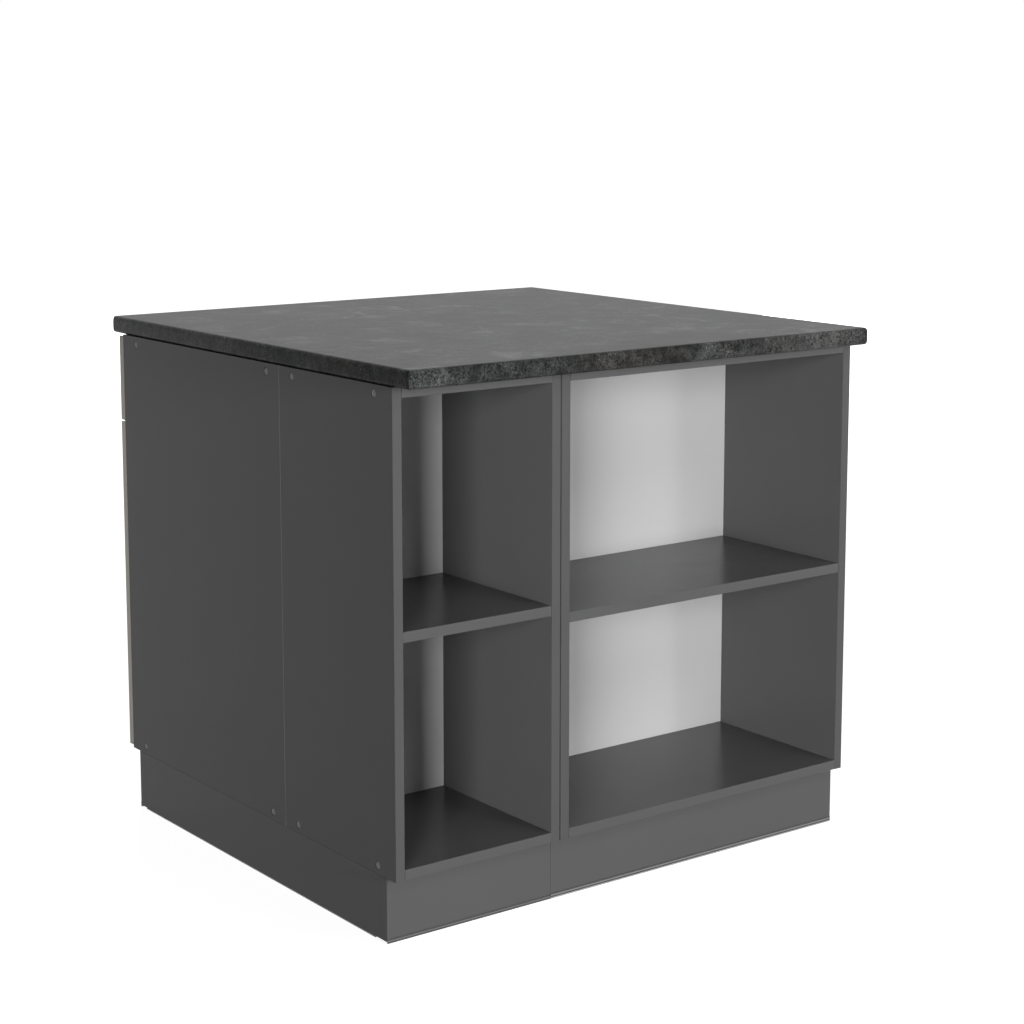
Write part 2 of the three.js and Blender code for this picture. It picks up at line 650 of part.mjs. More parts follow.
/** Drawer side: folded sheet that seats the bottom, with a hem, an outer runner and a lug in front. */
function drawerSide(across, foot, floorTop) {
  const web = BOARD + RUNNER_SPACE;
  const top = foot + DRAWER_SIDE_HEIGHT;
  const runner = foot + RUNNER_LEVEL;
  const section = outline([
    [across(web), foot],
    [across(web + DRAWER_FLANGE), foot],
    [across(web + DRAWER_FLANGE), foot + STEEL],
    [across(web + STEEL), foot + STEEL],
    [across(web + STEEL), top],
    [across(web - DRAWER_HEM), top],
    [across(web - DRAWER_HEM), top - DRAWER_HEM],
    [across(web - DRAWER_HEM + STEEL), top - DRAWER_HEM],
    [across(web - DRAWER_HEM + STEEL), top - STEEL],
    [across(web), top - STEEL],
    [across(web), runner + STEEL],
    [across(web - RUNNER_REACH), runner + STEEL],
    [across(web - RUNNER_REACH), runner - RUNNER_DROP],
    [across(web - RUNNER_REACH + STEEL), runner - RUNNER_DROP],
    [across(web - RUNNER_REACH + STEEL), runner],
    [across(web), runner],
  ]);
  const front = SEAT - FRONT_GAP;
  const lug = outline([
    [across(web), floorTop + SEAT],
    [across(web + DRAWER_LUG), floorTop + SEAT, LUG_CORNER],
    [across(web + DRAWER_LUG), top - DRAWER_HEM, LUG_CORNER],
    [across(web), top - DRAWER_HEM],
  ]);
  return fuse(
    extrude(section, 'y', front, RAIL_END - DRAWER_SETBACK),
    extrude(lug, 'y', front, front + STEEL),
  );
}

/** The drawer and its rails. The drawer is a group that slides along y. */
function addDrawer(cabinet, width, start, frontWidth) {
  const frontFoot = FRONT_BOTTOM + FRONT_HEIGHT - DRAWER_FRONT_HEIGHT;
  const foot = frontFoot + DRAWER_RISE;
  const floor = foot + STEEL + SEAT;
  const sides = { left: fromLeft, right: fromRight(width) };
  const drawer = new THREE.Group();
  cabinet.add(drawer);

  for (const [side, across] of Object.entries(sides)) {
    add(cabinet, `drawer_rail_${side}`, drawerRail(across, foot), steel);
    add(drawer, `drawer_side_${side}`, drawerSide(across, foot, floor + BOARD), drawerSteel);
  }
  const front = milledFront(frontWidth, DRAWER_FRONT_HEIGHT).translate(start, -FRONT_GAP, frontFoot);
  add(drawer, 'drawer_front', front, greige);
  const middle = start + (frontWidth - HANDLE_LENGTH) / 2;
  const pull = handle(middle, frontFoot + DRAWER_FRONT_HEIGHT).translate(0, -FRONT_GAP, 0);
  add(drawer, 'handle_drawer', pull, blackMetal);

  const x0 = BOARD + RUNNER_SPACE + STEEL + SEAT;
  const x1 = width - x0;
  const y0 = SEAT - FRONT_GAP;
  const y1 = RAIL_END - DRAWER_SETBACK;
  const plan = outline([[x0, y0], [x1, y0], [x1, y1], [x0, y1]]);
  add(drawer, 'drawer_bottom', extrude(plan, 'z', floor, floor + BOARD), graphite);
  const backFoot = floor + BOARD + SEAT;
  const backPlan = outline([[x0, y1 - BOARD], [x1, y1 - BOARD], [x1, y1], [x0, y1]]);
  add(drawer, 'drawer_back', extrude(backPlan, 'z', backFoot, backFoot + DRAWER_BACK_HEIGHT), graphite);
}

// ---- Worktop ----------------------------------------------------------------------------------

function worktop() {
  const x = ISLAND_WIDTH / 2;
  const y = WORKTOP_DEPTH / 2;
  const r = WORKTOP_CORNER_RADIUS;
  const plan = outline([[-x, -y, r], [x, -y, r], [x, y, r], [-x, y, r]]);
  const slab = new THREE.ExtrudeGeometry(plan, {
    depth: WORKTOP - 2 * WORKTOP_EDGE_RADIUS,
    bevelThickness: WORKTOP_EDGE_RADIUS,
    bevelSize: WORKTOP_EDGE_RADIUS,
    bevelOffset: -WORKTOP_EDGE_RADIUS,
    bevelSegments: 3,
    curveSegments: 4,
  });
  return slab.translate(0, 0, WORKTOP_EDGE_RADIUS);
}

// ---- Assembly ---------------------------------------------------------------------------------

const island = new THREE.Group();

/** Open row, front towards -Y: x runs along +X from the island's left end. */
const openRow = new THREE.Group();
openRow.position.set(-ISLAND_WIDTH / 2, OPEN_FRONT_Y, PLINTH_HEIGHT);
const openWide = openCabinet('open_wide', WIDE_WIDTH, OPEN_WIDE_SHELF);
openWide.position.x = WIDE_START;
openRow.add(openCabinet('open_narrow', NARROW_WIDTH, OPEN_NARROW_SHELF), openWide);
add(openRow, 'plinth_open_narrow', frontPlinth(0, NARROW_WIDTH, true), graphite);
add(openRow, 'plinth_open_wide', frontPlinth(WIDE_START, WIDE_WIDTH, false), graphite);

/** Base row, turned half round so that its front faces +Y. */
const baseRow = new THREE.Group();
baseRow.position.set(ISLAND_WIDTH / 2, BASE_FRONT_Y, PLINTH_HEIGHT);
baseRow.rotation.z = Math.PI;
const baseNarrow = baseCabinet('base_narrow', NARROW_WIDTH, BASE_NARROW_SHELF);
const baseWide = baseCabinet('base_wide', WIDE_WIDTH, BASE_WIDE_SHELF);
baseWide.position.x = WIDE_START;
baseRow.add(baseNarrow, baseWide);
add(baseRow, 'plinth_base_narrow', frontPlinth(0, NARROW_WIDTH, true), graphite);
add(baseRow, 'plinth_base_wide', frontPlinth(WIDE_START, WIDE_WIDTH, false), graphite);

// Fronts share the gaps evenly: at the island's ends they stop short of the side panels' faces.
const innerReveal = FRONT_REVEAL - CABINET_GAP / 2;
const narrowFront = NARROW_WIDTH - FRONT_REVEAL - innerReveal;
const wideFront = WIDE_WIDTH - FRONT_REVEAL - innerReveal;
const pairedDoor = wideFront / 2 - FRONT_REVEAL;
addDoor(baseNarrow, 'narrow', fromLeft, {
  start: FRONT_REVEAL,
  width: narrowFront,
  height: FRONT_HEIGHT,
  handleStart: FRONT_REVEAL + (narrowFront - HANDLE_LENGTH) / 2,
});
addDoor(baseWide, 'left', fromLeft, {
  start: innerReveal,
  width: pairedDoor,
  height: LOW_DOOR_HEIGHT,
  handleStart: innerReveal + pairedDoor - HANDLE_END_INSET - HANDLE_LENGTH,
});
const rightStart = innerReveal + pairedDoor + 2 * FRONT_REVEAL;
addDoor(baseWide, 'right', fromRight(WIDE_WIDTH), {
  start: rightStart,
  width: pairedDoor,
  height: LOW_DOOR_HEIGHT,
  handleStart: rightStart + HANDLE_END_INSET,
});
addDrawer(baseWide, WIDE_WIDTH, innerReveal, wideFront);

const sidePlinths = new THREE.Group();
sidePlinths.position.z = PLINTH_HEIGHT;
add(sidePlinths, 'plinth_side_left', sidePlinth(-1), graphite);
add(sidePlinths, 'plinth_side_right', sidePlinth(+1), graphite);

island.add(openRow, baseRow, sidePlinths);
add(island, 'worktop', worktop(), stone).position.z = PLINTH_HEIGHT + CARCASS_HEIGHT + SEAT;

export default island;
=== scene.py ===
# %% [markdown]
# # A square kitchen island
# Four cabinets stand back to back under one stone-look worktop: two open shelf cabinets face -Y,
# and a door cabinet and a drawer cabinet face +Y. The imported model already has every board, door,
# hinge and rail at its real size. So the work here is finish: each surface gets its own shader, the
# worktop is exchanged for one with softer edges, and the small hardware that the boards carry is
# modelled round them. The frame's box is kept from the start, and at the end it is printed beside
# the box of the dressed island.

# %% Load the frame
import json
import math

import bmesh
import bpy
from mathutils import Matrix, Vector


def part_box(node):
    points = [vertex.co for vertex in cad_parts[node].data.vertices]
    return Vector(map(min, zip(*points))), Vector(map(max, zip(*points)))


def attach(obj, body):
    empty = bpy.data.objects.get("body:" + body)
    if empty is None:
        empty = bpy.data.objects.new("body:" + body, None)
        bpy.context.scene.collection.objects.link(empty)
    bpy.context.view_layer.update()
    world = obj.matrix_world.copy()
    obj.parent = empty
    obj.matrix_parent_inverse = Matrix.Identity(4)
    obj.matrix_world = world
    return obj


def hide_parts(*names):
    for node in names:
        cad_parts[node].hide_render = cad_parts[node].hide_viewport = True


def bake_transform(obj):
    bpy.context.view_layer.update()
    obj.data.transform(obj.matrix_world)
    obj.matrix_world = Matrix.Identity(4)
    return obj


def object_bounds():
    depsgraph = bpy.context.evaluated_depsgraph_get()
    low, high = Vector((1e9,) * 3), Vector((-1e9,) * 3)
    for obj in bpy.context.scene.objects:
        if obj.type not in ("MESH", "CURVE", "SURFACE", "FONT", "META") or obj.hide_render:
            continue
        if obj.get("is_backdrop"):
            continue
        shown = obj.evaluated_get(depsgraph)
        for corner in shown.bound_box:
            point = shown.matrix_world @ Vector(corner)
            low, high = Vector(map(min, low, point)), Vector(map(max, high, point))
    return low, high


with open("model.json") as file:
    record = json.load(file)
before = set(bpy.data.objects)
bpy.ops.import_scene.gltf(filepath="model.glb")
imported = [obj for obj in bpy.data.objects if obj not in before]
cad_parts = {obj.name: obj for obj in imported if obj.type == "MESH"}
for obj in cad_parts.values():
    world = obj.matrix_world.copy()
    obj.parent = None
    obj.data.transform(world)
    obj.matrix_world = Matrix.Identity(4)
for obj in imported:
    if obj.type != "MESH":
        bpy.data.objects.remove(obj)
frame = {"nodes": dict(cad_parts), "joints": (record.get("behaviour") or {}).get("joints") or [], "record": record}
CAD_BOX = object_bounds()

MM = 0.001

# %% [markdown]
# ## Shader maths that reads like maths
# A procedural finish is mostly arithmetic on patterns. In Blender each plus or times is a Math
# node, and wiring dozens of them by hand hides the idea. A small class can wrap a node's output and
# give it Python's operators, so that `1 - mask * 0.3` adds the nodes by itself. Only the operators
# that the finishes use are here, with the reflected forms for a number on the left.


# %% A socket with operators
class Value:
    """An output of a shader node; arithmetic on it adds Math nodes to the same tree."""

    def __init__(self, nodes, socket):
        self.nodes = nodes
        self.socket = socket

    def math(self, operation, first, second):
        return self.nodes.node("Math", {"operation": operation}, {0: first, 1: second})

    def __add__(self, other):
        return self.math("ADD", self, other)

    __radd__ = __add__

    def __sub__(self, other):
        return self.math("SUBTRACT", self, other)

    def __rsub__(self, other):
        return self.math("SUBTRACT", other, self)

    def __mul__(self, other):
        return self.math("MULTIPLY", self, other)

    __rmul__ = __mul__

    def __gt__(self, other):
        return self.math("GREATER_THAN", self, other)

    def __lt__(self, other):
        return self.math("LESS_THAN", self, other)


# %% [markdown]
# ## One way to add any node
# Finishes, the floor and the world are all trees of nodes, so one method adds whatever node is
# wanted: it takes the node's type, sets its options first, because they decide which sockets exist,
# and then fills the sockets with numbers or links. It hands back an output with operators, so the
# result goes straight into the next expression.


# %% Any node of a tree
def socket_named(sockets, key):
    """The enabled socket of that name or number: a Mix node has several called A, most hidden."""
    enabled = [socket for socket in sockets if socket.enabled]
    return enabled[key] if isinstance(key, int) else next(s for s in enabled if s.name == key)


class Nodes:
    """A node tree in the making."""

    def __init__(self, tree):
        self.tree = tree

    def node(self, kind, settings=None, sockets=None, output=0):
        node = self.tree.nodes.new("ShaderNode" + kind)
        for option, choice in (settings or {}).items():
            setattr(node, option, choice)
        for key, value in (sockets or {}).items():
            self.join(socket_named(node.inputs, key), value)
        return Value(self, socket_named(node.outputs, output)) if len(node.outputs) else None

    def join(self, socket, value):
        if isinstance(value, Value):
            self.tree.links.new(value.socket, socket)
        else:
            socket.default_value = value


# %% [markdown]
# ## A finish for a surface
# Every finish of the island starts as a Principled shader. What is the same all over a surface is
# set on the shader's own sockets when the finish is made. The patterns used again and again (noise,
# a soft threshold, a colour mix, a bump) are short methods on top of the one that adds a node. All
# patterns read object coordinates: each piece of this model keeps its place in its own mesh, so a
# pattern rides along on a door that swings.


# %% A finish and its patterns
class Finish(Nodes):
    """A material in the making: its Principled shader and the nodes that feed it."""

    def __init__(self, name, **constants):
        self.material = bpy.data.materials.new(name)
        self.material.use_nodes = True
        super().__init__(self.material.node_tree)
        self.shader = self.tree.nodes["Principled BSDF"]
        for socket, number in constants.items():
            self.feed(socket.replace("_", " ").title().replace("Ior", "IOR"), number)

    def feed(self, socket, value):
        self.join(self.shader.inputs[socket], value)

    def place(self):
        return self.node("TexCoord", output="Object")

    def facing(self):
        return self.node("TexCoord", output="Normal")

    def along(self, axis, vector=None):
        return self.node("SeparateXYZ", sockets={0: vector or self.place()}, output=axis)

    def noise(self, per_metre, detail=2.0, roughness=0.5, distortion=0.0, where=None):
        settings = {"noise_dimensions": "3D"}
        sockets = {"Vector": where or self.place(), "Scale": per_metre, "Detail": detail}
        sockets.update({"Roughness": roughness, "Distortion": distortion})
        return self.node("TexNoise", settings, sockets, output="Fac")

    def stretched(self, x, y, z):
        """Object coordinates scaled on each axis, for patterns drawn out along one direction."""
        settings = {"operation": "MULTIPLY"}
        return self.node("VectorMath", settings, {0: self.place(), 1: (x, y, z)})

    def step(self, value, low, high):
        """0 below low, 1 above high, and a smooth rise between."""
        settings = {"interpolation_type": "SMOOTHSTEP"}
        return self.node("MapRange", settings, {"Value": value, "From Min": low, "From Max": high})

    def mix(self, factor, first, second):
        return self.node("Mix", {"data_type": "RGBA"}, {"Factor": factor, "A": first, "B": second})

    def bump(self, height, millimetres, strength=1.0):
        sockets = {"Height": height, "Distance": millimetres * MM, "Strength": strength}
        self.feed("Normal", self.node("Bump", sockets=sockets))


# %% [markdown]
# ## Colours as the eye reads them
# Colours picked from a photograph or a swatch are display values from 0 to 255, while a shader
# wants linear light. The conversion is a fixed curve. Writing colours as display values keeps them
# easy to compare with a photograph.


# %% Display colours to linear light
def swatch(red, green, blue):
    def linear(level):
        share = level / 255
        return share / 12.92 if share <= 0.04045 else ((share + 0.055) / 1.055) ** 2.4

    return (linear(red), linear(green), linear(blue), 1.0)


print("mid grey 128 in linear light:", round(swatch(128, 128, 128)[0], 3))

# %% [markdown]
# ## Graphite board
# The cabinets are chipboard under dark melamine. The real sheet is pressed against a structured
# plate, so it has a fine pearl: pimples under a millimetre, faint clouding at hand size, and a soft
# sheen that shows the pale back panel mirrored in the shelves. A flat colour would look like card.
# So the colour drifts by a few percent, the roughness by a little more, and a fine bump breaks the
# mirror. The same recipe serves the plinth, the screw caps and the joint strips, so it is a function
# of its colour. The upright panels and the plinth shine less than the shelves, so the sheen is a
# choice too.
#
# Some things in a board's own node aren't board: the steel shelf pins in the side panels, and the
# black plastic legs and clips under the bottoms and behind the plinth. They are told apart by where
# they are, which the frame's boxes give, with no change to any mesh.

# %% Where board ends and fittings begin
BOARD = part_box("open_narrow_shelf")[1].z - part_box("open_narrow_shelf")[0].z
CARCASS_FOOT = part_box("open_narrow_side_left")[0].z
SIDE_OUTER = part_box("open_wide_side_right")[1].x
SIDE_INNER = SIDE_OUTER - BOARD
MIDDLE_OUTER = -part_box("open_narrow_shelf")[1].x
MIDDLE_INNER = -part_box("open_wide_shelf")[0].x
PLINTH_BACK = -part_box("plinth_open_narrow")[0].y - BOARD
print("board", round(BOARD / MM, 1), "mm, carcass from", round(CARCASS_FOOT / MM), "mm up")


def from_middle(finish, axis):
    """Distance from the middle plane of the island along one axis."""
    return finish.node("Math", {"operation": "ABSOLUTE"}, {0: finish.along(axis)})


def pin_mask(finish):
    """1 on the shelf pins, which stand out of the side panels' inner faces."""
    x = from_middle(finish, "X")
    edge = 0.2 * MM
    outer_board = x > SIDE_INNER - edge
    middle_boards = (x > MIDDLE_INNER - edge) * (x < MIDDLE_OUTER + edge)
    return 1 - outer_board - middle_boards


def leg_mask(finish):
    """1 on the legs, below the underside of the carcass."""
    edge = 0.05 * MM
    return finish.along("Z") < CARCASS_FOOT - edge


def clip_mask(finish):
    """1 on the clips, behind both the front and the side plinth boards."""
    edge = 0.1 * MM
    behind_front = from_middle(finish, "Y") < PLINTH_BACK - edge
    behind_side = from_middle(finish, "X") < SIDE_INNER - edge
    return behind_front * behind_side


# %% Board shader with its fittings
STEEL_PIN = (swatch(176, 176, 178), 0.3, 1.0)
BLACK_PLASTIC = (swatch(38, 38, 39), 0.42, 0.0)
SHELF_SHEEN = 0.18
PANEL_SHEEN = 0.08
BOARD_DRIFT = 0.07


def board(name, colour, fittings=None, fitting_look=None, sheen=SHELF_SHEEN):
    """Melamine of a colour; where the fittings' mask is 1, their (colour, roughness, metal)."""
    finish = Finish(name, specular_ior_level=sheen)
    clouds = finish.noise(9, detail=4, roughness=0.6)
    pearl = finish.noise(1300, detail=2)
    light = tuple(c * (1 + BOARD_DRIFT) for c in colour[:3]) + (1.0,)
    dark = tuple(c * (1 - BOARD_DRIFT) for c in colour[:3]) + (1.0,)
    paint = finish.mix(clouds * 0.7 + pearl * 0.3, dark, light)
    roughness = 0.21 + clouds * 0.015 + pearl * 0.07
    if fittings:
        mask = fittings(finish)
        look, fitting_roughness, metal = fitting_look
        paint = finish.mix(mask, paint, look)
        roughness = roughness * (1 - mask) + mask * fitting_roughness
        finish.feed("Metallic", mask * metal)
    finish.feed("Base Color", paint)
    finish.feed("Roughness", roughness)
    finish.bump(pearl, 0.02)
    return finish.material


GRAPHITE = swatch(83, 83, 84)
graphite = board("graphite_melamine", GRAPHITE)
graphite_pinned = board("graphite_melamine_with_pins", GRAPHITE, pin_mask, STEEL_PIN, PANEL_SHEEN)
graphite_legged = board("graphite_melamine_with_legs", GRAPHITE, leg_mask, BLACK_PLASTIC)
plinth_board = board("plinth_laminate", swatch(87, 87, 88), clip_mask, BLACK_PLASTIC, PANEL_SHEEN)
for made in (graphite, graphite_pinned, graphite_legged, plinth_board):
    print("board finish:", made.name, "with", len(made.node_tree.nodes), "nodes")

# %% [markdown]
# ## Pale back panels
# The backs are thin fibreboard with a pale grey lacquer, rolled on at the mill. Roller lacquer on
# fibreboard shows a faint orange peel and fibres just under the paint. Both are far less than a
# millimetre deep, so they only soften the light. The gradient that fills the panel in the
# photograph comes from the lamps and the cabinet's own shadow, and isn't painted on.

# %% Lacquered fibreboard
def lacquered_back():
    finish = Finish("back_lacquer", specular_ior_level=0.35)
    peel = finish.noise(420, detail=1)
    fibres = finish.noise(1, detail=3, where=finish.stretched(900, 900, 260))
    drift = finish.noise(5, detail=2)
    tone = drift * 0.6 + fibres * 0.4
    finish.feed("Base Color", finish.mix(tone, swatch(214, 214, 215), swatch(226, 226, 226)))
    finish.feed("Roughness", 0.5 + fibres * 0.14)
    finish.bump(peel * 0.7 + fibres * 0.3, 0.03)
    return finish.material


back_panel = lacquered_back()
print("back panels:", back_panel.name)

# %% [markdown]
# ## Stone-look worktop
# The worktop is chipboard under a printed high-pressure laminate that imitates dark slate or
# concrete, with the same decor ironed on its edges. Looked at closely it has soft clouds a hand
# wide, pale wisps where they fray, and mottling a finger wide. Over that lies a fine grain: dark
# pits all over, small pale specks that gather in patches, and now and then a paler chip. The hue
# drifts a little between cool grey and brown-grey. Each of these is a noise at its own scale, laid
# over the ones before. The laminate is matt with the grain pressed in, so the grain drives a fine
# bump as well.
#
# The top face is painted a fifth of the way to pale grey: a painted sheen that makes it lighter and
# calmer than the edges. The underside is bare backing paper. The way that a point faces tells the
# three apart.

# %% Stone laminate
NEARLY_FLAT = 0.9


def stone_laminate():
    finish = Finish("stone_laminate", specular_ior_level=0.06)
    clouds = finish.noise(6, detail=6, roughness=0.62, distortion=0.4)
    frayed = finish.noise(13, detail=6, roughness=0.62, distortion=1.4)
    wisps = finish.step(frayed, 0.5, 0.7) * finish.step(clouds, 0.4, 0.6)
    mottle = finish.noise(60, detail=5, roughness=0.7)
    tone = finish.step(clouds * 0.3 + frayed * 0.2 + mottle * 0.5, 0.38, 0.62)
    peppered = finish.step(finish.noise(14, detail=2), 0.42, 0.56)
    grain = finish.noise(300, detail=3, roughness=0.75)
    specks = finish.step(grain, 0.52, 0.62) * (0.2 + peppered * 0.8) * (0.3 + tone * 0.7)
    pits = finish.step(finish.noise(290, detail=3, roughness=0.7), 0.5, 0.62)
    chips = finish.step(finish.noise(90, detail=2, distortion=0.8), 0.76, 0.82)
    hue = finish.step(finish.noise(9, detail=2), 0.42, 0.58)

    cool = finish.mix(tone, swatch(26, 27, 27), swatch(70, 72, 72))
    warm = finish.mix(tone, swatch(27, 26, 25), swatch(71, 70, 69))
    ground = finish.mix(hue, warm, cool)
    streaked = finish.mix(wisps * 0.3, ground, swatch(112, 113, 113))
    pitted = finish.mix(pits * 0.85, streaked, swatch(14, 14, 14))
    speckled = finish.mix(specks * 0.7, pitted, swatch(112, 114, 113))
    chipped = finish.mix(chips * 0.6, speckled, swatch(160, 161, 158))

    upward = finish.along("Z", finish.facing())
    # Painted sheen: the top face is mixed a fifth of the way to pale grey.
    sheet = finish.mix((upward > NEARLY_FLAT) * 0.2, chipped, swatch(118, 119, 118))
    finish.feed("Base Color", finish.mix(upward < -NEARLY_FLAT, sheet, swatch(74, 66, 58)))
    finish.feed("Roughness", 0.36 - wisps * 0.05 + mottle * 0.1)
    finish.bump(grain * 0.6 + mottle * 0.4, 0.06)
    return finish.material


worktop_stone = stone_laminate()
print("worktop:", worktop_stone.name)

# %% [markdown]
# ## Greige fronts
# The doors and the drawer front are milled fibreboard under a warm grey matt foil, drawn down into
# every corner of the milling. The frame, step and bevel are real geometry. What the shader adds is
# what such a foil does over fibreboard: a soft orange peel a few millimetres across, an even softer
# drift in sheen, and almost no variation of colour.

# %% Matt foil on milled fibreboard
def greige_foil():
    finish = Finish("greige_foil", specular_ior_level=0.4)
    peel = finish.noise(260, detail=1.5)
    dust = finish.noise(1500, detail=1)
    drift = finish.noise(4, detail=3)
    tone = drift * 0.8 + dust * 0.2
    finish.feed("Base Color", finish.mix(tone, swatch(174, 168, 161), swatch(182, 176, 169)))
    finish.feed("Roughness", 0.42 + drift * 0.08 + dust * 0.04)
    finish.bump(peel * 0.8 + dust * 0.2, 0.035)
    return finish.material


fronts = greige_foil()
print("fronts:", fronts.name)

# %% [markdown]
# ## Metals
# Four metal finishes are in the island. The handles are folded steel with matt black powder coat,
# which has a fine leathery texture. The hinges are nickel plated, bright and a little warm, with
# faint lines left by the polishing. The drawer sides and rails are steel strip under grey lacquer,
# with the rolling lines still just visible along Y. The screws are zinc plated, but for those in the
# handles, which are black too. All of them vary in roughness more than in colour, because that is
# what makes metal read as metal.

# %% Powder coat, nickel, lacquered steel and zinc
def powder_coat():
    finish = Finish("black_powder_coat", specular_ior_level=0.25)
    leather = finish.noise(1100, detail=2, roughness=0.6)
    finish.feed("Base Color", finish.mix(leather, swatch(18, 18, 19), swatch(28, 28, 29)))
    finish.feed("Roughness", 0.38 + leather * 0.14)
    finish.bump(leather, 0.04)
    return finish.material


def plated(name, dark, light, roughness, metallic=1.0, lines=(60, 60, 1400)):
    """Metal whose brush lines are noise, with so many features a metre along X, Y and Z."""
    finish = Finish(name, metallic=metallic)
    brushed = finish.noise(1, detail=3, roughness=0.6, where=finish.stretched(*lines))
    smudge = finish.noise(45, detail=3)
    finish.feed("Base Color", finish.mix(brushed * 0.6 + smudge * 0.4, dark, light))
    finish.feed("Roughness", roughness + brushed * 0.12 + smudge * 0.06)
    finish.bump(brushed, 0.01)
    return finish.material


black_handle = powder_coat()
nickel = plated("nickel_plate", swatch(186, 184, 180), swatch(214, 212, 208), 0.16)
drawer_steel = plated("grey_drawer_steel", swatch(120, 122, 125), swatch(136, 138, 141), 0.34,
                      metallic=0.55, lines=(1400, 40, 1400))
zinc = plated("zinc_screws", swatch(150, 150, 150), swatch(182, 182, 184), 0.24)
print("metals:", black_handle.name, nickel.name, drawer_steel.name, zinc.name)

# %% [markdown]
# ## Dressing the frame
# The record names a material slot for every node, so one table from slot to shader dresses most of
# the island. Side panels and bottoms take the versions that know about pins and legs. Only the
# material slots of the frame's objects change.

# %% Give every node its finish
SLOT_FINISH = {
    "graphite_board": graphite,
    "plinth_board": plinth_board,
    "back_board": back_panel,
    "worktop_laminate": worktop_stone,
    "greige_front": fronts,
    "black_handle": black_handle,
    "hinge_steel": nickel,
    "drawer_steel": drawer_steel,
}


def node_finish(node, slot):
    if slot == "graphite_board" and "_side_" in node:
        return graphite_pinned
    if slot == "graphite_board" and node.endswith("_bottom") and not node.startswith("drawer"):
        return graphite_legged
    return SLOT_FINISH[slot]


for entry in frame["record"]["subparts"]:
    piece = frame["nodes"][entry["node"]]
    look = node_finish(entry["node"], entry["material_slot"])
    if not piece.material_slots:
        piece.data.materials.append(look)
    for holder in piece.material_slots:
        holder.material = look

# %% [markdown]
# ## Lofting small hardware
# Screw heads and caps are turned shapes, and the heads have a square socket pressed in. They could
# be primitives with booleans, but a loft is cleaner: a list of rings, each with a radius and a
# height, skinned in order and closed at both ends. A ring may be a square, and because it has as
# many points as a round one, the skin between them just works. A matrix turns the piece so that its
# axis leaves the face that carries it.

# %% Rings to mesh
RING_POINTS = 24


def ring(radius, height, sides=0):
    """Points of a circle, or of a polygon with that many sides and that distance to its corners."""
    points = []
    for i in range(RING_POINTS):
        angle = math.tau * i / RING_POINTS
        reach = radius
        if sides:
            sector = math.tau / sides
            reach *= math.cos(sector / 2) / math.cos(angle % sector - sector / 2)
        points.append(Vector((reach * math.cos(angle), reach * math.sin(angle), height)))
    return points


def loft(rings):
    """Vertices and faces of a skin through the rings, closed by a face at each end."""
    vertices = [point for points in rings for point in points]
    faces = [tuple(range(RING_POINTS))]
    for start in range(0, len(vertices) - RING_POINTS, RING_POINTS):
        for i in range(RING_POINTS):
            a, b = start + i, start + (i + 1) % RING_POINTS
            faces.append((a, b, b + RING_POINTS, a + RING_POINTS))
    faces.append(tuple(range(len(vertices) - RING_POINTS, len(vertices))))
    return vertices, faces


print("a lofted ring has", RING_POINTS, "points")


# %% From lofts to an object
SHARP_FROM_DEGREES = 35


def out_of(point, normal):
    """The matrix that carries the origin to a point on a face, and +Z to that face's normal."""
    turn = Vector((0, 0, 1)).rotation_difference(Vector(normal))
    return Matrix.Translation(point) @ turn.to_matrix().to_4x4()


def build(name, parts, material):
    """One object from several (vertices, faces, matrix) parts, with its normals turned outward."""
    vertices, faces = [], []
    for part_vertices, part_faces, matrix in parts:
        start = len(vertices)
        vertices += [matrix @ v for v in part_vertices]
        faces += [tuple(start + i for i in face) for face in part_faces]
    mesh = bpy.data.meshes.new(name)
    mesh.from_pydata(vertices, [], faces)
    shell = bmesh.new()
    shell.from_mesh(mesh)
    bmesh.ops.recalc_face_normals(shell, faces=shell.faces)
    shell.to_mesh(mesh)
    shell.free()
    mesh.materials.append(material)
    mesh.shade_smooth()
    mesh.set_sharp_from_angle(angle=math.radians(SHARP_FROM_DEGREES))
    piece = bpy.data.objects.new(name, mesh)
    bpy.context.scene.collection.objects.link(piece)
    return piece


print("edges look sharp from", SHARP_FROM_DEGREES, "degrees")

# %% Screw head
SOCKET_SIDES = 4


def screw(radius, height, spot, normal):
    """A low domed head with a square socket, on a face at a spot, its foot just inside the face."""
    socket = radius * 0.45
    head = loft([
        ring(radius * 0.96, -0.3 * MM),
        ring(radius, height * 0.3),
        ring(radius * 0.86, height * 0.85),
        ring(socket * 1.25, height),
        ring(socket, height, SOCKET_SIDES),
        ring(socket * 0.96, height * 0.25, SOCKET_SIDES),
    ])
    return (*head, out_of(spot, normal))


print("a screw's socket has", SOCKET_SIDES, "sides")

# %% [markdown]
# ## Worktop slab
# The worktop in the photograph has softly rounded edges: its corners show it against the white. A
# bevel modifier on a box would do, but the same loft gives full control. Rings with round corners
# go out and up round the lower edge on a quarter circle, up the flat of the edge, and in again over
# the top. The first and the last ring lie a little further in and keep the broad faces flat, because
# smooth shading would otherwise tilt them. This slab stands in for the frame's plainer one, in the
# same place and size.

# %% Rounded slab
SLAB_EDGE = 6.5 * MM
SLAB_CORNER = 7.5 * MM
SLAB_STEPS = 6
SLAB_LEDGE = 0.5 * MM


def slab_ring(low, high, inset, level):
    """A square with round corners, set in from the slab's outline."""
    corners = ((high.x, high.y), (low.x, high.y), (low.x, low.y), (high.x, low.y))
    per_corner = RING_POINTS // len(corners)
    reach = SLAB_CORNER - inset
    points = []
    for corner, (x, y) in enumerate(corners):
        centre_x = x - math.copysign(SLAB_CORNER, x)
        centre_y = y - math.copysign(SLAB_CORNER, y)
        for step in range(per_corner):
            angle = math.pi / 2 * (corner + step / (per_corner - 1))
            place = (centre_x + reach * math.cos(angle), centre_y + reach * math.sin(angle), level)
            points.append(Vector(place))
    return points


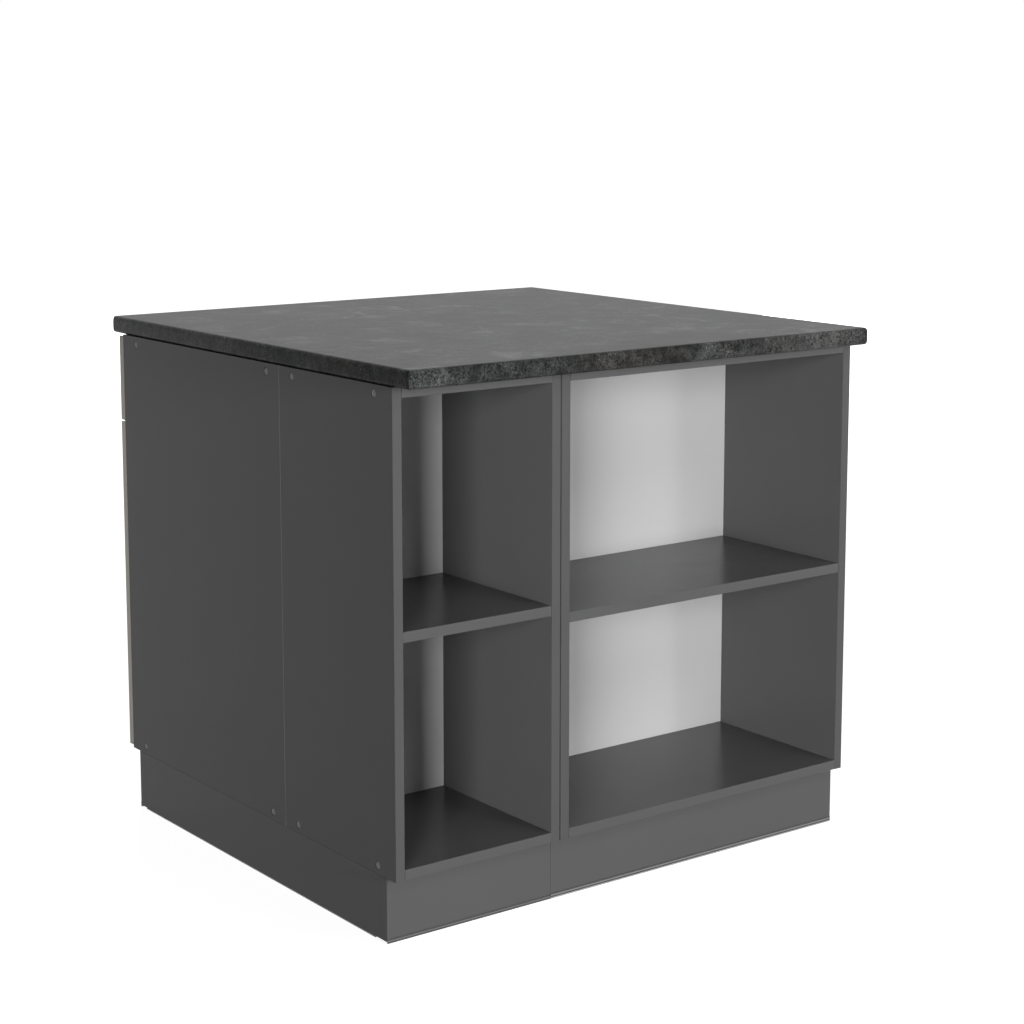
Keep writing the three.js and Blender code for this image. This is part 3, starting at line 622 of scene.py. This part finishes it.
def slab(low, high):
    """The whole slab; each ring has an inset from the outline and a rise from the broad face."""
    rounded = [(SLAB_EDGE + SLAB_LEDGE, 0)]
    for step in range(SLAB_STEPS + 1):
        turn = math.pi / 2 * step / SLAB_STEPS
        rounded.append((SLAB_EDGE * (1 - math.sin(turn)), SLAB_EDGE * (1 - math.cos(turn))))
    rings = [slab_ring(low, high, inset, low.z + rise) for inset, rise in rounded]
    rings += [slab_ring(low, high, inset, high.z - rise) for inset, rise in reversed(rounded)]
    return (*loft(rings), Matrix.Identity(4))


worktop_slab = build("worktop_slab", [slab(*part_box("worktop"))], worktop_stone)
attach(worktop_slab, "carcass")
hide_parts("worktop")
print("worktop slab edge rounded by", round(SLAB_EDGE / MM, 1), "mm")

# %% [markdown]
# ## Screw caps in the side panels
# Each cabinet is held by screws driven through the sides into the ends of the boards at its top and
# bottom. The frame has a shallow round seat over each screw, and a plastic cap fills it: a low dome
# whose top ends just under the face. Eight of them show on each side of the island. They are lofts
# too, because the rounded rim is what makes them read as caps: it catches a crescent of light inside
# a dark ring.

# %% Screw caps
CAP_RADIUS = 5.6 * MM
CAP_SEAT_DEPTH = 1 * MM
CAP_SUNK = 0.08 * MM
SCREW_FROM_END = 13 * MM
SCREW_FROM_FRONT = 47 * MM
SCREW_FROM_REAR = 37 * MM


def screw_cap():
    """A domed cap; its origin is on the panel's face."""
    return loft([
        ring(CAP_RADIUS, -CAP_SEAT_DEPTH + CAP_SUNK),
        ring(CAP_RADIUS, -0.72 * MM),
        ring(CAP_RADIUS * 0.94, -0.46 * MM),
        ring(CAP_RADIUS * 0.82, -0.24 * MM),
        ring(CAP_RADIUS * 0.6, -0.12 * MM),
        ring(CAP_RADIUS * 0.25, -CAP_SUNK),
    ])


def cap_seats(panel):
    """The seats of a side panel's four caps: places on its outer face, and that face's normal."""
    low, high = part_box(panel)
    faces_doors = panel.startswith("base")
    outward = 1 if faces_doors == panel.endswith("left") else -1
    face = high.x if outward > 0 else low.x
    front, rear = (high.y, low.y) if faces_doors else (low.y, high.y)
    inward = -1 if faces_doors else 1
    rows = (front + inward * SCREW_FROM_FRONT, rear - inward * SCREW_FROM_REAR)
    levels = (low.z + SCREW_FROM_END, high.z - SCREW_FROM_END)
    return [(Vector((face, y, z)), (outward, 0, 0)) for y in rows for z in levels]


side_panels = [node for node in frame["nodes"]
               if "_side_" in node and node.startswith(("open", "base"))]
seats = [seat for panel in side_panels for seat in cap_seats(panel)]
# The caps are painted far paler than the graphite board: a painted highlight in place of the crescent of light on
# their rims.
cap_painted_highlight = board("graphite_caps_painted_highlight", swatch(122, 122, 123))
seated = [(*screw_cap(), out_of(*seat)) for seat in seats]
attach(build("screw_caps", seated, cap_painted_highlight), "carcass")
print("screw caps:", len(seats), "on", len(side_panels), "panels")

# %% [markdown]
# ## Seal strips under the plinth
# A strip along the foot of a plinth board keeps water and dust out: a stiff grey lip clipped over
# the board's lower edge, with a soft pale foot that all but touches the floor. In the photograph it
# is the thin light line a few millimetres up and the paler line on the floor. A strip keeps one
# section all along, so each is drawn as an outline and extruded. There are three sections: the whole
# strip, the lip alone under the narrow open cabinet, and the foot alone on the side boards, which
# are flush with the worktop above. The finish paints pale and mid bands by height on dark plastic.
# That dark, between and above the bands and on the narrow cabinet's lip, is partly the plastic's
# colour and partly painted shade.

# %% Seal finishes
SEAL_DARK_AND_SHADE = swatch(66, 66, 67)
SEAL_MID = swatch(122, 122, 123)
SEAL_PALE = swatch(158, 158, 156)


def seal_finish(name, bands):
    """Dark plastic, partly painted shade, with paler bands: (from, to, colour) up the strip in millimetres."""
    finish = Finish(name, roughness=0.5, specular_ior_level=0.3)
    height = finish.along("Z")
    paint = finish.mix(finish.noise(700, detail=1), SEAL_DARK_AND_SHADE, swatch(72, 72, 73))
    for low, high, colour in bands:
        paint = finish.mix((height > low * MM) * (height < high * MM), paint, colour)
    finish.feed("Base Color", paint)
    finish.bump(finish.noise(900, detail=1), 0.01)
    return finish.material


# Painted shade in part: the dark left between and above the pale bands, and on the narrow lip.
bands_and_painted_shade = seal_finish("seal_two_tone", [(-1, 2.4, SEAL_PALE), (4.6, 6.6, SEAL_MID)])
dark_lip_and_painted_shade = seal_finish("seal_dark_lip", [(3.4, 4.4, SEAL_MID)])
print("seal finishes:", bands_and_painted_shade.name, dark_lip_and_painted_shade.name)


# %% Seal sections
def millimetres(points):
    return [(a * MM, b * MM) for a, b in points]


FULL_SEAL = millimetres([
    (0.05, 9), (0.6, 8.7), (0.75, 6.9), (0.9, 6.6), (0.9, 4.6), (0.4, 4.3), (0.4, 2.8), (1.0, 2.4),
    (1.2, 0.6), (0.6, 0.2), (-3, 0.2), (-3.4, 2.7), (0.05, 2.7),
])
LIP_SEAL = millimetres([(0.05, 7.4), (0.5, 7.1), (0.6, 0.9), (0.3, 0.3), (0.05, 0.3)])
FOOT_SEAL = millimetres([(-0.1, 2.7), (-0.05, 0.5), (-0.5, 0.2), (-3, 0.2), (-3.4, 2.7)])


def strip(section, start, end, outward, across):
    """Skin of a section, given as (outward, across) points, drawn from start to end."""
    vertices = [at + outward * o + across * a for at in (start, end) for o, a in section]
    count = len(section)
    faces = [tuple(range(count)), tuple(range(count, 2 * count))]
    faces += [(i, count + i, count + (i + 1) % count, (i + 1) % count) for i in range(count)]
    return vertices, faces, Matrix.Identity(4)


print("points in the seal sections:", [len(each) for each in (FULL_SEAL, LIP_SEAL, FOOT_SEAL)])

# %% Seal strips
UP = Vector((0, 0, 1))
SIDE_SEAL_START = 16 * MM
SIDE_SEAL_END = 4 * MM


def along_front(board_node, section, outward):
    """A strip at the foot of a plinth board that runs along X."""
    low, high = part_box(board_node)
    face = high.y if outward > 0 else low.y
    ends = Vector((low.x, face, 0)), Vector((high.x, face, 0))
    return strip(section, *ends, Vector((0, outward, 0)), UP)


def along_side(board_node, outward):
    """A strip at the foot of a side board; it stops short of both corners."""
    low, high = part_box(board_node)
    face = high.x if outward > 0 else low.x
    ends = Vector((face, low.y + SIDE_SEAL_START, 0)), Vector((face, high.y - SIDE_SEAL_END, 0))
    return strip(FOOT_SEAL, *ends, Vector((outward, 0, 0)), UP)


strips = [
    along_front("plinth_open_wide", FULL_SEAL, -1),
    along_front("plinth_base_wide", FULL_SEAL, 1),
    along_front("plinth_base_narrow", FULL_SEAL, 1),
    along_side("plinth_side_left", -1),
    along_side("plinth_side_right", 1),
]
lips = [along_front("plinth_open_narrow", LIP_SEAL, -1)]
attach(build("plinth_seals", strips, bands_and_painted_shade), "carcass")
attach(build("plinth_lip", lips, dark_lip_and_painted_shade), "carcass")
print("seal strips:", len(strips) + len(lips))

# %% [markdown]
# ## Strips between the cabinets
# Cabinets that stand back to back never meet quite evenly, so the joint on each side of the island
# is closed with a plastic strip pressed in between the two side panels. Its face, with small
# chamfers, lies just under theirs and is painted far paler than the boards, a painted highlight
# that gives the fine light line along the joint. It is one section drawn upward, like the seals,
# and its width is the gap that the frame's boxes give.

# %% Joint strips
JOINT_PLAY = 0.03 * MM
JOINT_SUNK = 0.03 * MM
JOINT_DEPTH = 4 * MM


def joint_strip(front_panel, rear_panel, outward):
    front_low, front_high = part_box(front_panel)
    rear_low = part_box(rear_panel)[0]
    half = (rear_low.y - front_high.y) / 2 - JOINT_PLAY
    face = front_high.x if outward > 0 else front_low.x
    section = [(-JOINT_DEPTH, -half), (-JOINT_SUNK - half * 0.2, -half), (-JOINT_SUNK, -half * 0.8),
               (-JOINT_SUNK, half * 0.8), (-JOINT_SUNK - half * 0.2, half), (-JOINT_DEPTH, half)]
    foot = Vector((face, (rear_low.y + front_high.y) / 2, front_low.z))
    head = foot + UP * (front_high.z - front_low.z)
    print("joint on", front_panel, "is", round((rear_low.y - front_high.y) / MM, 2), "mm wide")
    return strip(section, foot, head, Vector((outward, 0, 0)), Vector((0, 1, 0)))


joints = [joint_strip("open_narrow_side_left", "base_wide_side_right", -1),
          joint_strip("open_wide_side_right", "base_narrow_side_left", 1)]
# Painted highlight: the strip is far paler than the boards beside it.
joint_painted_highlight = board("joint_strip_painted_highlight", swatch(140, 140, 141))
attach(build("joint_strips", joints, joint_painted_highlight), "carcass")

# %% [markdown]
# ## Hinge links and screws
# A cup hinge is a folded arm on the cabinet, a cup in the door, and curved links between them that
# fold into the cup when the door shuts. The frame has the arm and the cup, which are rigid, but no
# rigid piece can bridge them through the swing. So the links are drawn as a curved band round the
# swing axis, from the arm's nose into the cup, as they lie with the door at rest; they don't move
# when the door swings. Screws hold the cup's wings and the mounting plate, and two more adjust the
# arm.

# %% Hinge link
LINK_ARM_ANGLE = -27
LINK_CUP_ANGLE = -7
LINK_ARM_REACH = 18.8 * MM
LINK_CUP_REACH = 21.5 * MM
LINK_HALF_DEPTH = 1.1 * MM
LINK_THICK = 1.4 * MM
LINK_STEPS = 20


def hinge_link(axis, inward, level):
    """Curved plate round the swing axis at a level, from the arm's nose into the cup."""
    vertices, faces = [], []
    for step in range(LINK_STEPS + 1):
        share = step / LINK_STEPS
        angle = math.radians(LINK_ARM_ANGLE + (LINK_CUP_ANGLE - LINK_ARM_ANGLE) * share)
        reach = LINK_ARM_REACH + (LINK_CUP_REACH - LINK_ARM_REACH) * share
        for depth, rise in ((-1, 0), (1, 0), (1, 1), (-1, 1)):
            radius = reach + depth * LINK_HALF_DEPTH
            vertices.append(Vector((
                axis.x + inward * radius * math.cos(angle),
                axis.y + radius * math.sin(angle),
                level + (rise - 0.5) * LINK_THICK,
            )))
    for row in range(0, 4 * LINK_STEPS, 4):
        for i in range(4):
            beside = (i + 1) % 4
            faces.append((row + i, row + beside, row + beside + 4, row + i + 4))
    faces += [(0, 1, 2, 3), tuple(range(4 * LINK_STEPS, 4 * LINK_STEPS + 4))]
    return vertices, faces, Matrix.Identity(4)


print("a hinge link spans", LINK_CUP_ANGLE - LINK_ARM_ANGLE, "degrees round the swing axis")

# %% Hinge screws
WING_SCREW = (3.4 * MM, 0.9 * MM)
WING_SCREW_RISE = 24 * MM
PLATE_SCREW = (3.8 * MM, 1.0 * MM)
PLATE_SCREW_RISE = 16 * MM
PLATE_SCREW_INSET = 23 * MM
PLATE_FACE = 2.8 * MM
ARM_SCREW = (3.0 * MM, 0.8 * MM)
ARM_SCREW_INSETS = (14 * MM, 42 * MM)


def wing_screws(cup, face):
    """Two screws through the wings of a cup, on the face that the wings turn to the cabinet."""
    return [screw(*WING_SCREW, Vector((cup.x, face, cup.z + rise)), (0, -1, 0))
            for rise in (-WING_SCREW_RISE, WING_SCREW_RISE)]


def arm_screws(low, high, level, inward):
    """Two screws in the mounting plate and two in the web of the arm, from the arm's box."""
    wall, web = (low.x, high.x) if inward > 0 else (high.x, low.x)
    plate_face = wall + inward * PLATE_FACE
    plate_middle = low.y + PLATE_SCREW_INSET
    into_cabinet = (inward, 0, 0)
    plate = [screw(*PLATE_SCREW, Vector((plate_face, plate_middle, level + rise)), into_cabinet)
             for rise in (-PLATE_SCREW_RISE, PLATE_SCREW_RISE)]
    arm = [screw(*ARM_SCREW, Vector((web, high.y - inset, level)), into_cabinet)
           for inset in ARM_SCREW_INSETS]
    return plate + arm


print("arm screws sit", [round(inset / MM) for inset in ARM_SCREW_INSETS], "mm behind the arm's nose")

# %% Fit the hinges
LINK_SPACING = 5.6 * MM
HINGED = {"narrow": "narrow_door", "left": "left_door", "right": "right_door"}

swing_axes = {joint["child"]: Vector(joint["pos_m"])
              for joint in frame["joints"] if "pos_m" in joint}

for door, body in HINGED.items():
    axis = swing_axes[body]
    in_cups, in_arms = [], []
    for level in ("lower", "upper"):
        cup_low, cup_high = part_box(f"hinge_cup_{door}_{level}")
        cup = (cup_low + cup_high) / 2
        inward = 1 if cup.x > axis.x else -1

        levels = (cup.z - LINK_SPACING / 2, cup.z + LINK_SPACING / 2)
        plates = [hinge_link(axis, inward, at) for at in levels]
        links = build(f"hinge_links_{door}_{level}", plates, nickel)
        ends = [(plates[0][0][i] + plates[1][0][i]) / 2 for i in (0, -1)]
        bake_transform(links)

        in_cups += wing_screws(cup, cup_low.y)
        in_arms += arm_screws(*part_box(f"hinge_arm_{door}_{level}"), cup.z, inward)
    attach(build(f"cup_screws_{door}", in_cups, zinc), body)
    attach(build(f"arm_screws_{door}", in_arms, zinc), "carcass")
    print(door, "door: swing axis at", [round(c, 4) for c in axis], "m, two pairs of links,",
          len(in_cups) + len(in_arms), "screws")

# %% [markdown]
# ## Door pads, handle screws and drawer screws
# Clear silicone pads keep a shut front off the carcass: one in each free corner of a door that has a
# board behind it, and two at the foot of the drawer front. The folded handles are screwed down into
# the top edge of their fronts. Each drawer side has a lug behind the front with two screws, and each
# rail is screwed to its side panel. All of these are short lofts on a face that the frame's boxes
# give, so they follow if a size changes.

# %% Silicone pads
PAD_RADIUS = 4 * MM
PAD_THICK = 1.2 * MM
PAD_INSET = 8 * MM


def silicone():
    finish = Finish("silicone_pads", roughness=0.3, specular_ior_level=0.5)
    haze = finish.noise(300, detail=1)
    finish.feed("Base Color", finish.mix(haze, swatch(196, 198, 198), swatch(214, 216, 216)))
    return finish.material


def pads(front, corners):
    """Pads on a front's rear face; a corner is (1 at the high X edge or -1, 1 at the top or -1)."""
    low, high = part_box(front)
    dome = loft([ring(PAD_RADIUS, 0), ring(PAD_RADIUS * 0.95, PAD_THICK * 0.5),
                 ring(PAD_RADIUS * 0.5, PAD_THICK)])
    parts = []
    for across, up in corners:
        x = high.x - PAD_INSET if across > 0 else low.x + PAD_INSET
        z = high.z - PAD_INSET if up > 0 else low.z + PAD_INSET
        parts.append((*dome, out_of(Vector((x, low.y, z)), (0, -1, 0))))
    return parts


PAD_CORNERS = {
    ("door_narrow", "narrow_door"): [(-1, -1), (-1, 1)],
    ("door_left", "left_door"): [(-1, -1)],
    ("door_right", "right_door"): [(1, -1)],
    ("drawer_front", "drawer"): [(-1, -1), (1, -1)],
}
clear = silicone()
for (front, body), corners in PAD_CORNERS.items():
    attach(build(f"pads_{front}", pads(front, corners), clear), body)
    print("pads on", front + ":", len(corners))

# %% Handle screws
HANDLE_SCREW = (2.8 * MM, 0.5 * MM)
HANDLE_SCREW_SPREAD = 28 * MM
HANDLE_FLAT = 13 * MM

for name, body in {**HINGED, "drawer": "drawer"}.items():
    low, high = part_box(f"handle_{name}")
    middle = (low.x + high.x) / 2
    flat = low.y + HANDLE_FLAT / 2
    heads = [screw(*HANDLE_SCREW, Vector((middle + side, flat, high.z)), UP)
             for side in (-HANDLE_SCREW_SPREAD, HANDLE_SCREW_SPREAD)]
    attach(build(f"handle_screws_{name}", heads, black_handle), body)
    print("handle", name, "is", round((high.x - low.x) / MM), "mm wide, with", len(heads), "screws")

# %% Drawer screws
LUG_SCREW = (3.4 * MM, 1.2 * MM)
LUG_SCREW_SHARES = (0.3, 0.7)
LUG_MIDDLE = 7 * MM
STEEL_GAUGE = 1.5 * MM
RAIL_SCREW = (2.6 * MM, 0.7 * MM)
RAIL_SCREW_SHARES = (0.08, 0.5, 0.92)

bottom_low, bottom_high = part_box("drawer_bottom")
drawer_middle = (bottom_low.x + bottom_high.x) / 2
lug_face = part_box("drawer_front")[0].y - STEEL_GAUGE
lug_screws, rail_screws = [], []
for side in ("left", "right"):
    low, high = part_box(f"drawer_side_{side}")
    lug = low.x + LUG_MIDDLE if low.x > drawer_middle else high.x - LUG_MIDDLE
    for share in LUG_SCREW_SHARES:
        level = bottom_high.z + (high.z - bottom_high.z) * share
        lug_screws.append(screw(*LUG_SCREW, Vector((lug, lug_face, level)), (0, -1, 0)))

    low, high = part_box(f"drawer_rail_{side}")
    inward = -1 if low.x > drawer_middle else 1
    web = (low.x if inward > 0 else high.x) + inward * STEEL_GAUGE
    level = (low.z + high.z) / 2
    for share in RAIL_SCREW_SHARES:
        spot = Vector((web, low.y + (high.y - low.y) * share, level))
        rail_screws.append(screw(*RAIL_SCREW, spot, (inward, 0, 0)))
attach(build("drawer_lug_screws", lug_screws, zinc), "drawer")
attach(build("drawer_rail_screws", rail_screws, zinc), "carcass")
print("drawer screws:", len(lug_screws), "in the lugs,", len(rail_screws), "in the rails")

# %% [markdown]
# ## A pale floor
# The photograph has no room: the island stands on white. A plain floor disc gives it something to
# stand on and to throw a soft shadow on. To the camera, and in reflections, the floor glows so that
# its lit parts come out white, a little less near the island, where the shadow has to show. To
# every other ray it is a plain diffuse surface that gives back less than a third of its light, so
# that little of it reaches the island from below.

# %% Rays that see and rays that light
SEEING_RAYS = ("Camera", "Glossy", "Transmission")


def grey(level):
    return (level, level, level, 1.0)


def seen_directly(nodes):
    """1 for rays from the camera, mirrored or passed on; 0 for light that falls on things."""
    camera, mirrored, passed_on = (
        nodes.node("LightPath", output=f"Is {kind} Ray") for kind in SEEING_RAYS)
    return camera + mirrored + passed_on


def bare_material(name):
    """A material with no shader yet, and its nodes."""
    material = bpy.data.materials.new(name)
    material.use_nodes = True
    material.node_tree.nodes.clear()
    return material, Nodes(material.node_tree)


print("rays that see the floor glow:", SEEING_RAYS)

# %% Floor
FLOOR_RADIUS = 14.0
FLOOR_SIDES = 64
FLOOR_DROP = 0.2 * MM
FLOOR_BOUNCE = 0.3
FLOOR_SHOWN = 0.5
GLOW_NEAR = 0.88
GLOW_FROM = 1.5
GLOW_TO = 5.0


def floor_material():
    material, nodes = bare_material("pale_floor")
    plain = nodes.node("BsdfDiffuse", sockets={"Color": grey(FLOOR_BOUNCE)})
    shown = nodes.node("BsdfDiffuse", sockets={"Color": grey(FLOOR_SHOWN)})
    place = nodes.node("TexCoord", output="Object")
    reach = nodes.node("VectorMath", {"operation": "LENGTH"}, {0: place}, "Value")
    span = {"Value": reach, "From Min": GLOW_FROM, "From Max": GLOW_TO}
    span.update({"To Min": GLOW_NEAR, "To Max": 1.0})
    rise = nodes.node("MapRange", {"interpolation_type": "SMOOTHSTEP"}, span)
    glow = nodes.node("Emission", sockets={"Color": rise})
    glowing = nodes.node("AddShader", sockets={0: shown, 1: glow})
    choice = nodes.node("MixShader", sockets={0: seen_directly(nodes), 1: plain, 2: glowing})
    nodes.node("OutputMaterial", sockets={"Surface": choice})
    return material


floor_mesh = bpy.data.meshes.new("floor")
turns = [math.tau * i / FLOOR_SIDES for i in range(FLOOR_SIDES)]
rim = [(FLOOR_RADIUS * math.cos(turn), FLOOR_RADIUS * math.sin(turn), -FLOOR_DROP) for turn in turns]
floor_mesh.from_pydata(rim, [], [tuple(range(FLOOR_SIDES))])
floor_mesh.materials.append(floor_material())
floor = bpy.data.objects.new("floor", floor_mesh)
bpy.context.scene.collection.objects.link(floor)
floor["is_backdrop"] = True
print("floor radius", FLOOR_RADIUS, "m")

# %% [markdown]
# ## Studio light
# The shading inside the open cabinets tells where the lamps stood. The narrow cabinet's back panel
# is dark but for its right edge, and the wide one's is darker at its left: so there were two big
# soft lamps, low, one out to the left and one out to the right, and little light straight from the
# front. A weak one high in front reaches the shelves. Two more serve the door side, and one
# overhead the worktop. The two big ones together light the open front at roughly the level at which
# a colour comes out as it is written, and so do the two on the door side. The world adds a low even
# grey, and looks white to the camera and in reflections.

# %% World
AMBIENT = 0.02

world = bpy.data.worlds.new("studio")
bpy.context.scene.world = world
world.use_nodes = True
world.node_tree.nodes.clear()
sky = Nodes(world.node_tree)
fill = sky.node("Background", sockets={"Color": grey(1.0), "Strength": AMBIENT})
white = sky.node("Background", sockets={"Color": grey(1.0), "Strength": 1.0})
around = sky.node("MixShader", sockets={0: seen_directly(sky), 1: fill, 2: white})
sky.node("OutputWorld", sockets={"Surface": around})
print("ambient", AMBIENT)

# %% Lamps
LAMP_DISTANCE = 8.0
AIM_HEIGHT = 0.45


def softbox(name, azimuth, height, width, tall, level, distance=LAMP_DISTANCE):
    """Area lamp aimed at the island; azimuth 0 is straight in front of the open side, + rightward.

    At level 1 a surface that faces the lamp shows its colour as it is written.
    """
    angle = math.radians(azimuth)
    place = Vector((distance * math.sin(angle), -distance * math.cos(angle), height))
    aim = Vector((0, 0, AIM_HEIGHT)) - place
    lamp = bpy.data.lights.new(name, "AREA")
    lamp.shape = "RECTANGLE"
    lamp.size = width
    lamp.size_y = tall
    lamp.energy = level * math.pi * aim.length_squared * math.pi
    holder = bpy.data.objects.new(name, lamp)
    holder.location = place
    holder.rotation_euler = aim.to_track_quat("-Z", "Y").to_euler()
    holder.visible_camera = False
    holder.visible_glossy = False
    bpy.context.scene.collection.objects.link(holder)
    return holder


open_left = softbox("lamp_open_left", -47, 1.2, 2.3, 3.2, 1.11)
softbox("lamp_open_right", 40, 1.2, 5.8, 3.2, 0.62)
softbox("lamp_open_high", 15, 7.2, 2.4, 2.4, 0.14)
softbox("lamp_doors_left", 190, 3.4, 4.8, 6.4, 0.33, distance=16)
softbox("lamp_doors_right", 145, 1.3, 4.0, 3.2, 0.76)
softbox("lamp_overhead", 0, 4.5, 2.5, 2.5, 0.18, distance=0.01)
print("lamps:", len(bpy.data.lights))

# %% [markdown]
# ## A net beside the left lamp
# The left lamp reaches the island's left side as fully as its front, yet the photograph shows that
# side far darker. A studio hangs a net for this: black gauze in the lamp's path that takes most of
# the light from whatever lies behind it. Here it is three upright sheets, which all but touch the
# front left corner of the worktop, the cabinet and the plinth, so that the shade starts right at
# each corner. Only shadow rays notice them.

# %% Gauze
WORKTOP_SHADE = 0.9
CABINET_SHADE = 0.7


def net_material(name, shade):
    """Gauze that stops that share of the light."""
    material, nodes = bare_material(name)
    hole = nodes.node("BsdfTransparent")
    thread = nodes.node("BsdfDiffuse", sockets={"Color": grey(0.01)})
    weave = nodes.node("MixShader", sockets={0: shade, 1: hole, 2: thread})
    nodes.node("OutputMaterial", sockets={"Surface": weave})
    return material


gauze = [
    net_material("net_at_worktop", WORKTOP_SHADE),
    net_material("net_at_cabinet", CABINET_SHADE),
]
print("gauze:", [made.name for made in gauze])

# %% Hang the net
NET_GAP = 2 * MM
NET_WIDTH = 1.1
NET_HEIGHT = 1.3


def hang_net(lamp):
    """Sheets square to the lamp's light, outward from three corners that stand one above another."""
    towards = Vector((lamp.location.x, lamp.location.y, 0)).normalized()
    aside = Vector((towards.y, -towards.x, 0))
    worktop, cabinet, plinth = (
        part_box(node)[0] for node in ("worktop", "open_narrow_side_left", "plinth_open_narrow"))
    spans = (
        (worktop, worktop.z, NET_HEIGHT),
        (cabinet, cabinet.z, worktop.z),
        (plinth, 0, cabinet.z),
    )
    vertices = []
    for corner, low, high in spans:
        start = Vector((corner.x, corner.y, 0)) + towards * NET_GAP
        for out, up in ((0, low), (NET_WIDTH, low), (NET_WIDTH, high), (0, high)):
            vertices.append(start + aside * out + UP * up)
    sheets = bpy.data.meshes.new("net")
    sheets.from_pydata(vertices, [], [tuple(range(4 * i, 4 * i + 4)) for i in range(len(spans))])
    for made in gauze:
        sheets.materials.append(made)
    for sheet in sheets.polygons[1:]:
        sheet.material_index = 1
    net = bpy.data.objects.new("net", sheets)
    net.visible_camera = net.visible_glossy = net.visible_diffuse = False
    bpy.context.scene.collection.objects.link(net)
    net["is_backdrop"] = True
    print("net sheets:", len(sheets.polygons), "of", NET_WIDTH, "m")


hang_net(open_left)

# %% [markdown]
# ## Camera
# In the photograph every upright edge stands parallel, although the lens is higher than the
# worktop: the camera was level, with its lens shifted down a long way. A camera in Blender can do
# the same with shift_y, but every other view of the island keeps that shift, and a large one would
# cut the island off there. So the shift here is small, and the camera looks slightly down instead.
# Its place, angles and focal length were fitted to the corners of the worktop and the plinth, which
# come within a hundredth of the picture's width of where they are in the photograph.

# %% Camera
CAMERA_PLACE = (-2.121, -2.921, 1.238)
CAMERA_TILT = 81.53
CAMERA_TURN = -36.80
LENS_MM = 76.89
SENSOR_MM = 36.0
LENS_SHIFT = -0.1
CLIP_END = 60.0

lens = bpy.data.cameras.new("camera")
lens.lens = LENS_MM
lens.sensor_width = SENSOR_MM
lens.sensor_fit = "HORIZONTAL"
lens.shift_y = LENS_SHIFT
lens.clip_end = CLIP_END
camera = bpy.data.objects.new("camera", lens)
camera.location = CAMERA_PLACE
camera.rotation_euler = (math.radians(CAMERA_TILT), 0, math.radians(CAMERA_TURN))
bpy.context.scene.collection.objects.link(camera)
bpy.context.scene.camera = camera
bpy.context.scene.view_settings.view_transform = "Standard"
print("camera at", CAMERA_PLACE, "m, lens", LENS_MM, "mm")

# %% [markdown]
# ## The size of the dressed island
# The dressed island must keep the frame's box: whoever takes the model from the shelf relies on its
# size. Both boxes are printed, and the cell ends with them.

# %% Sizes, then finish
VISUAL_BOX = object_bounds()


def plain(box):
    return [[float(value) for value in corner] for corner in box]


{"cad": plain(CAD_BOX), "visual": plain(VISUAL_BOX)}
print("frame box", plain(CAD_BOX), "dressed box", plain(VISUAL_BOX))
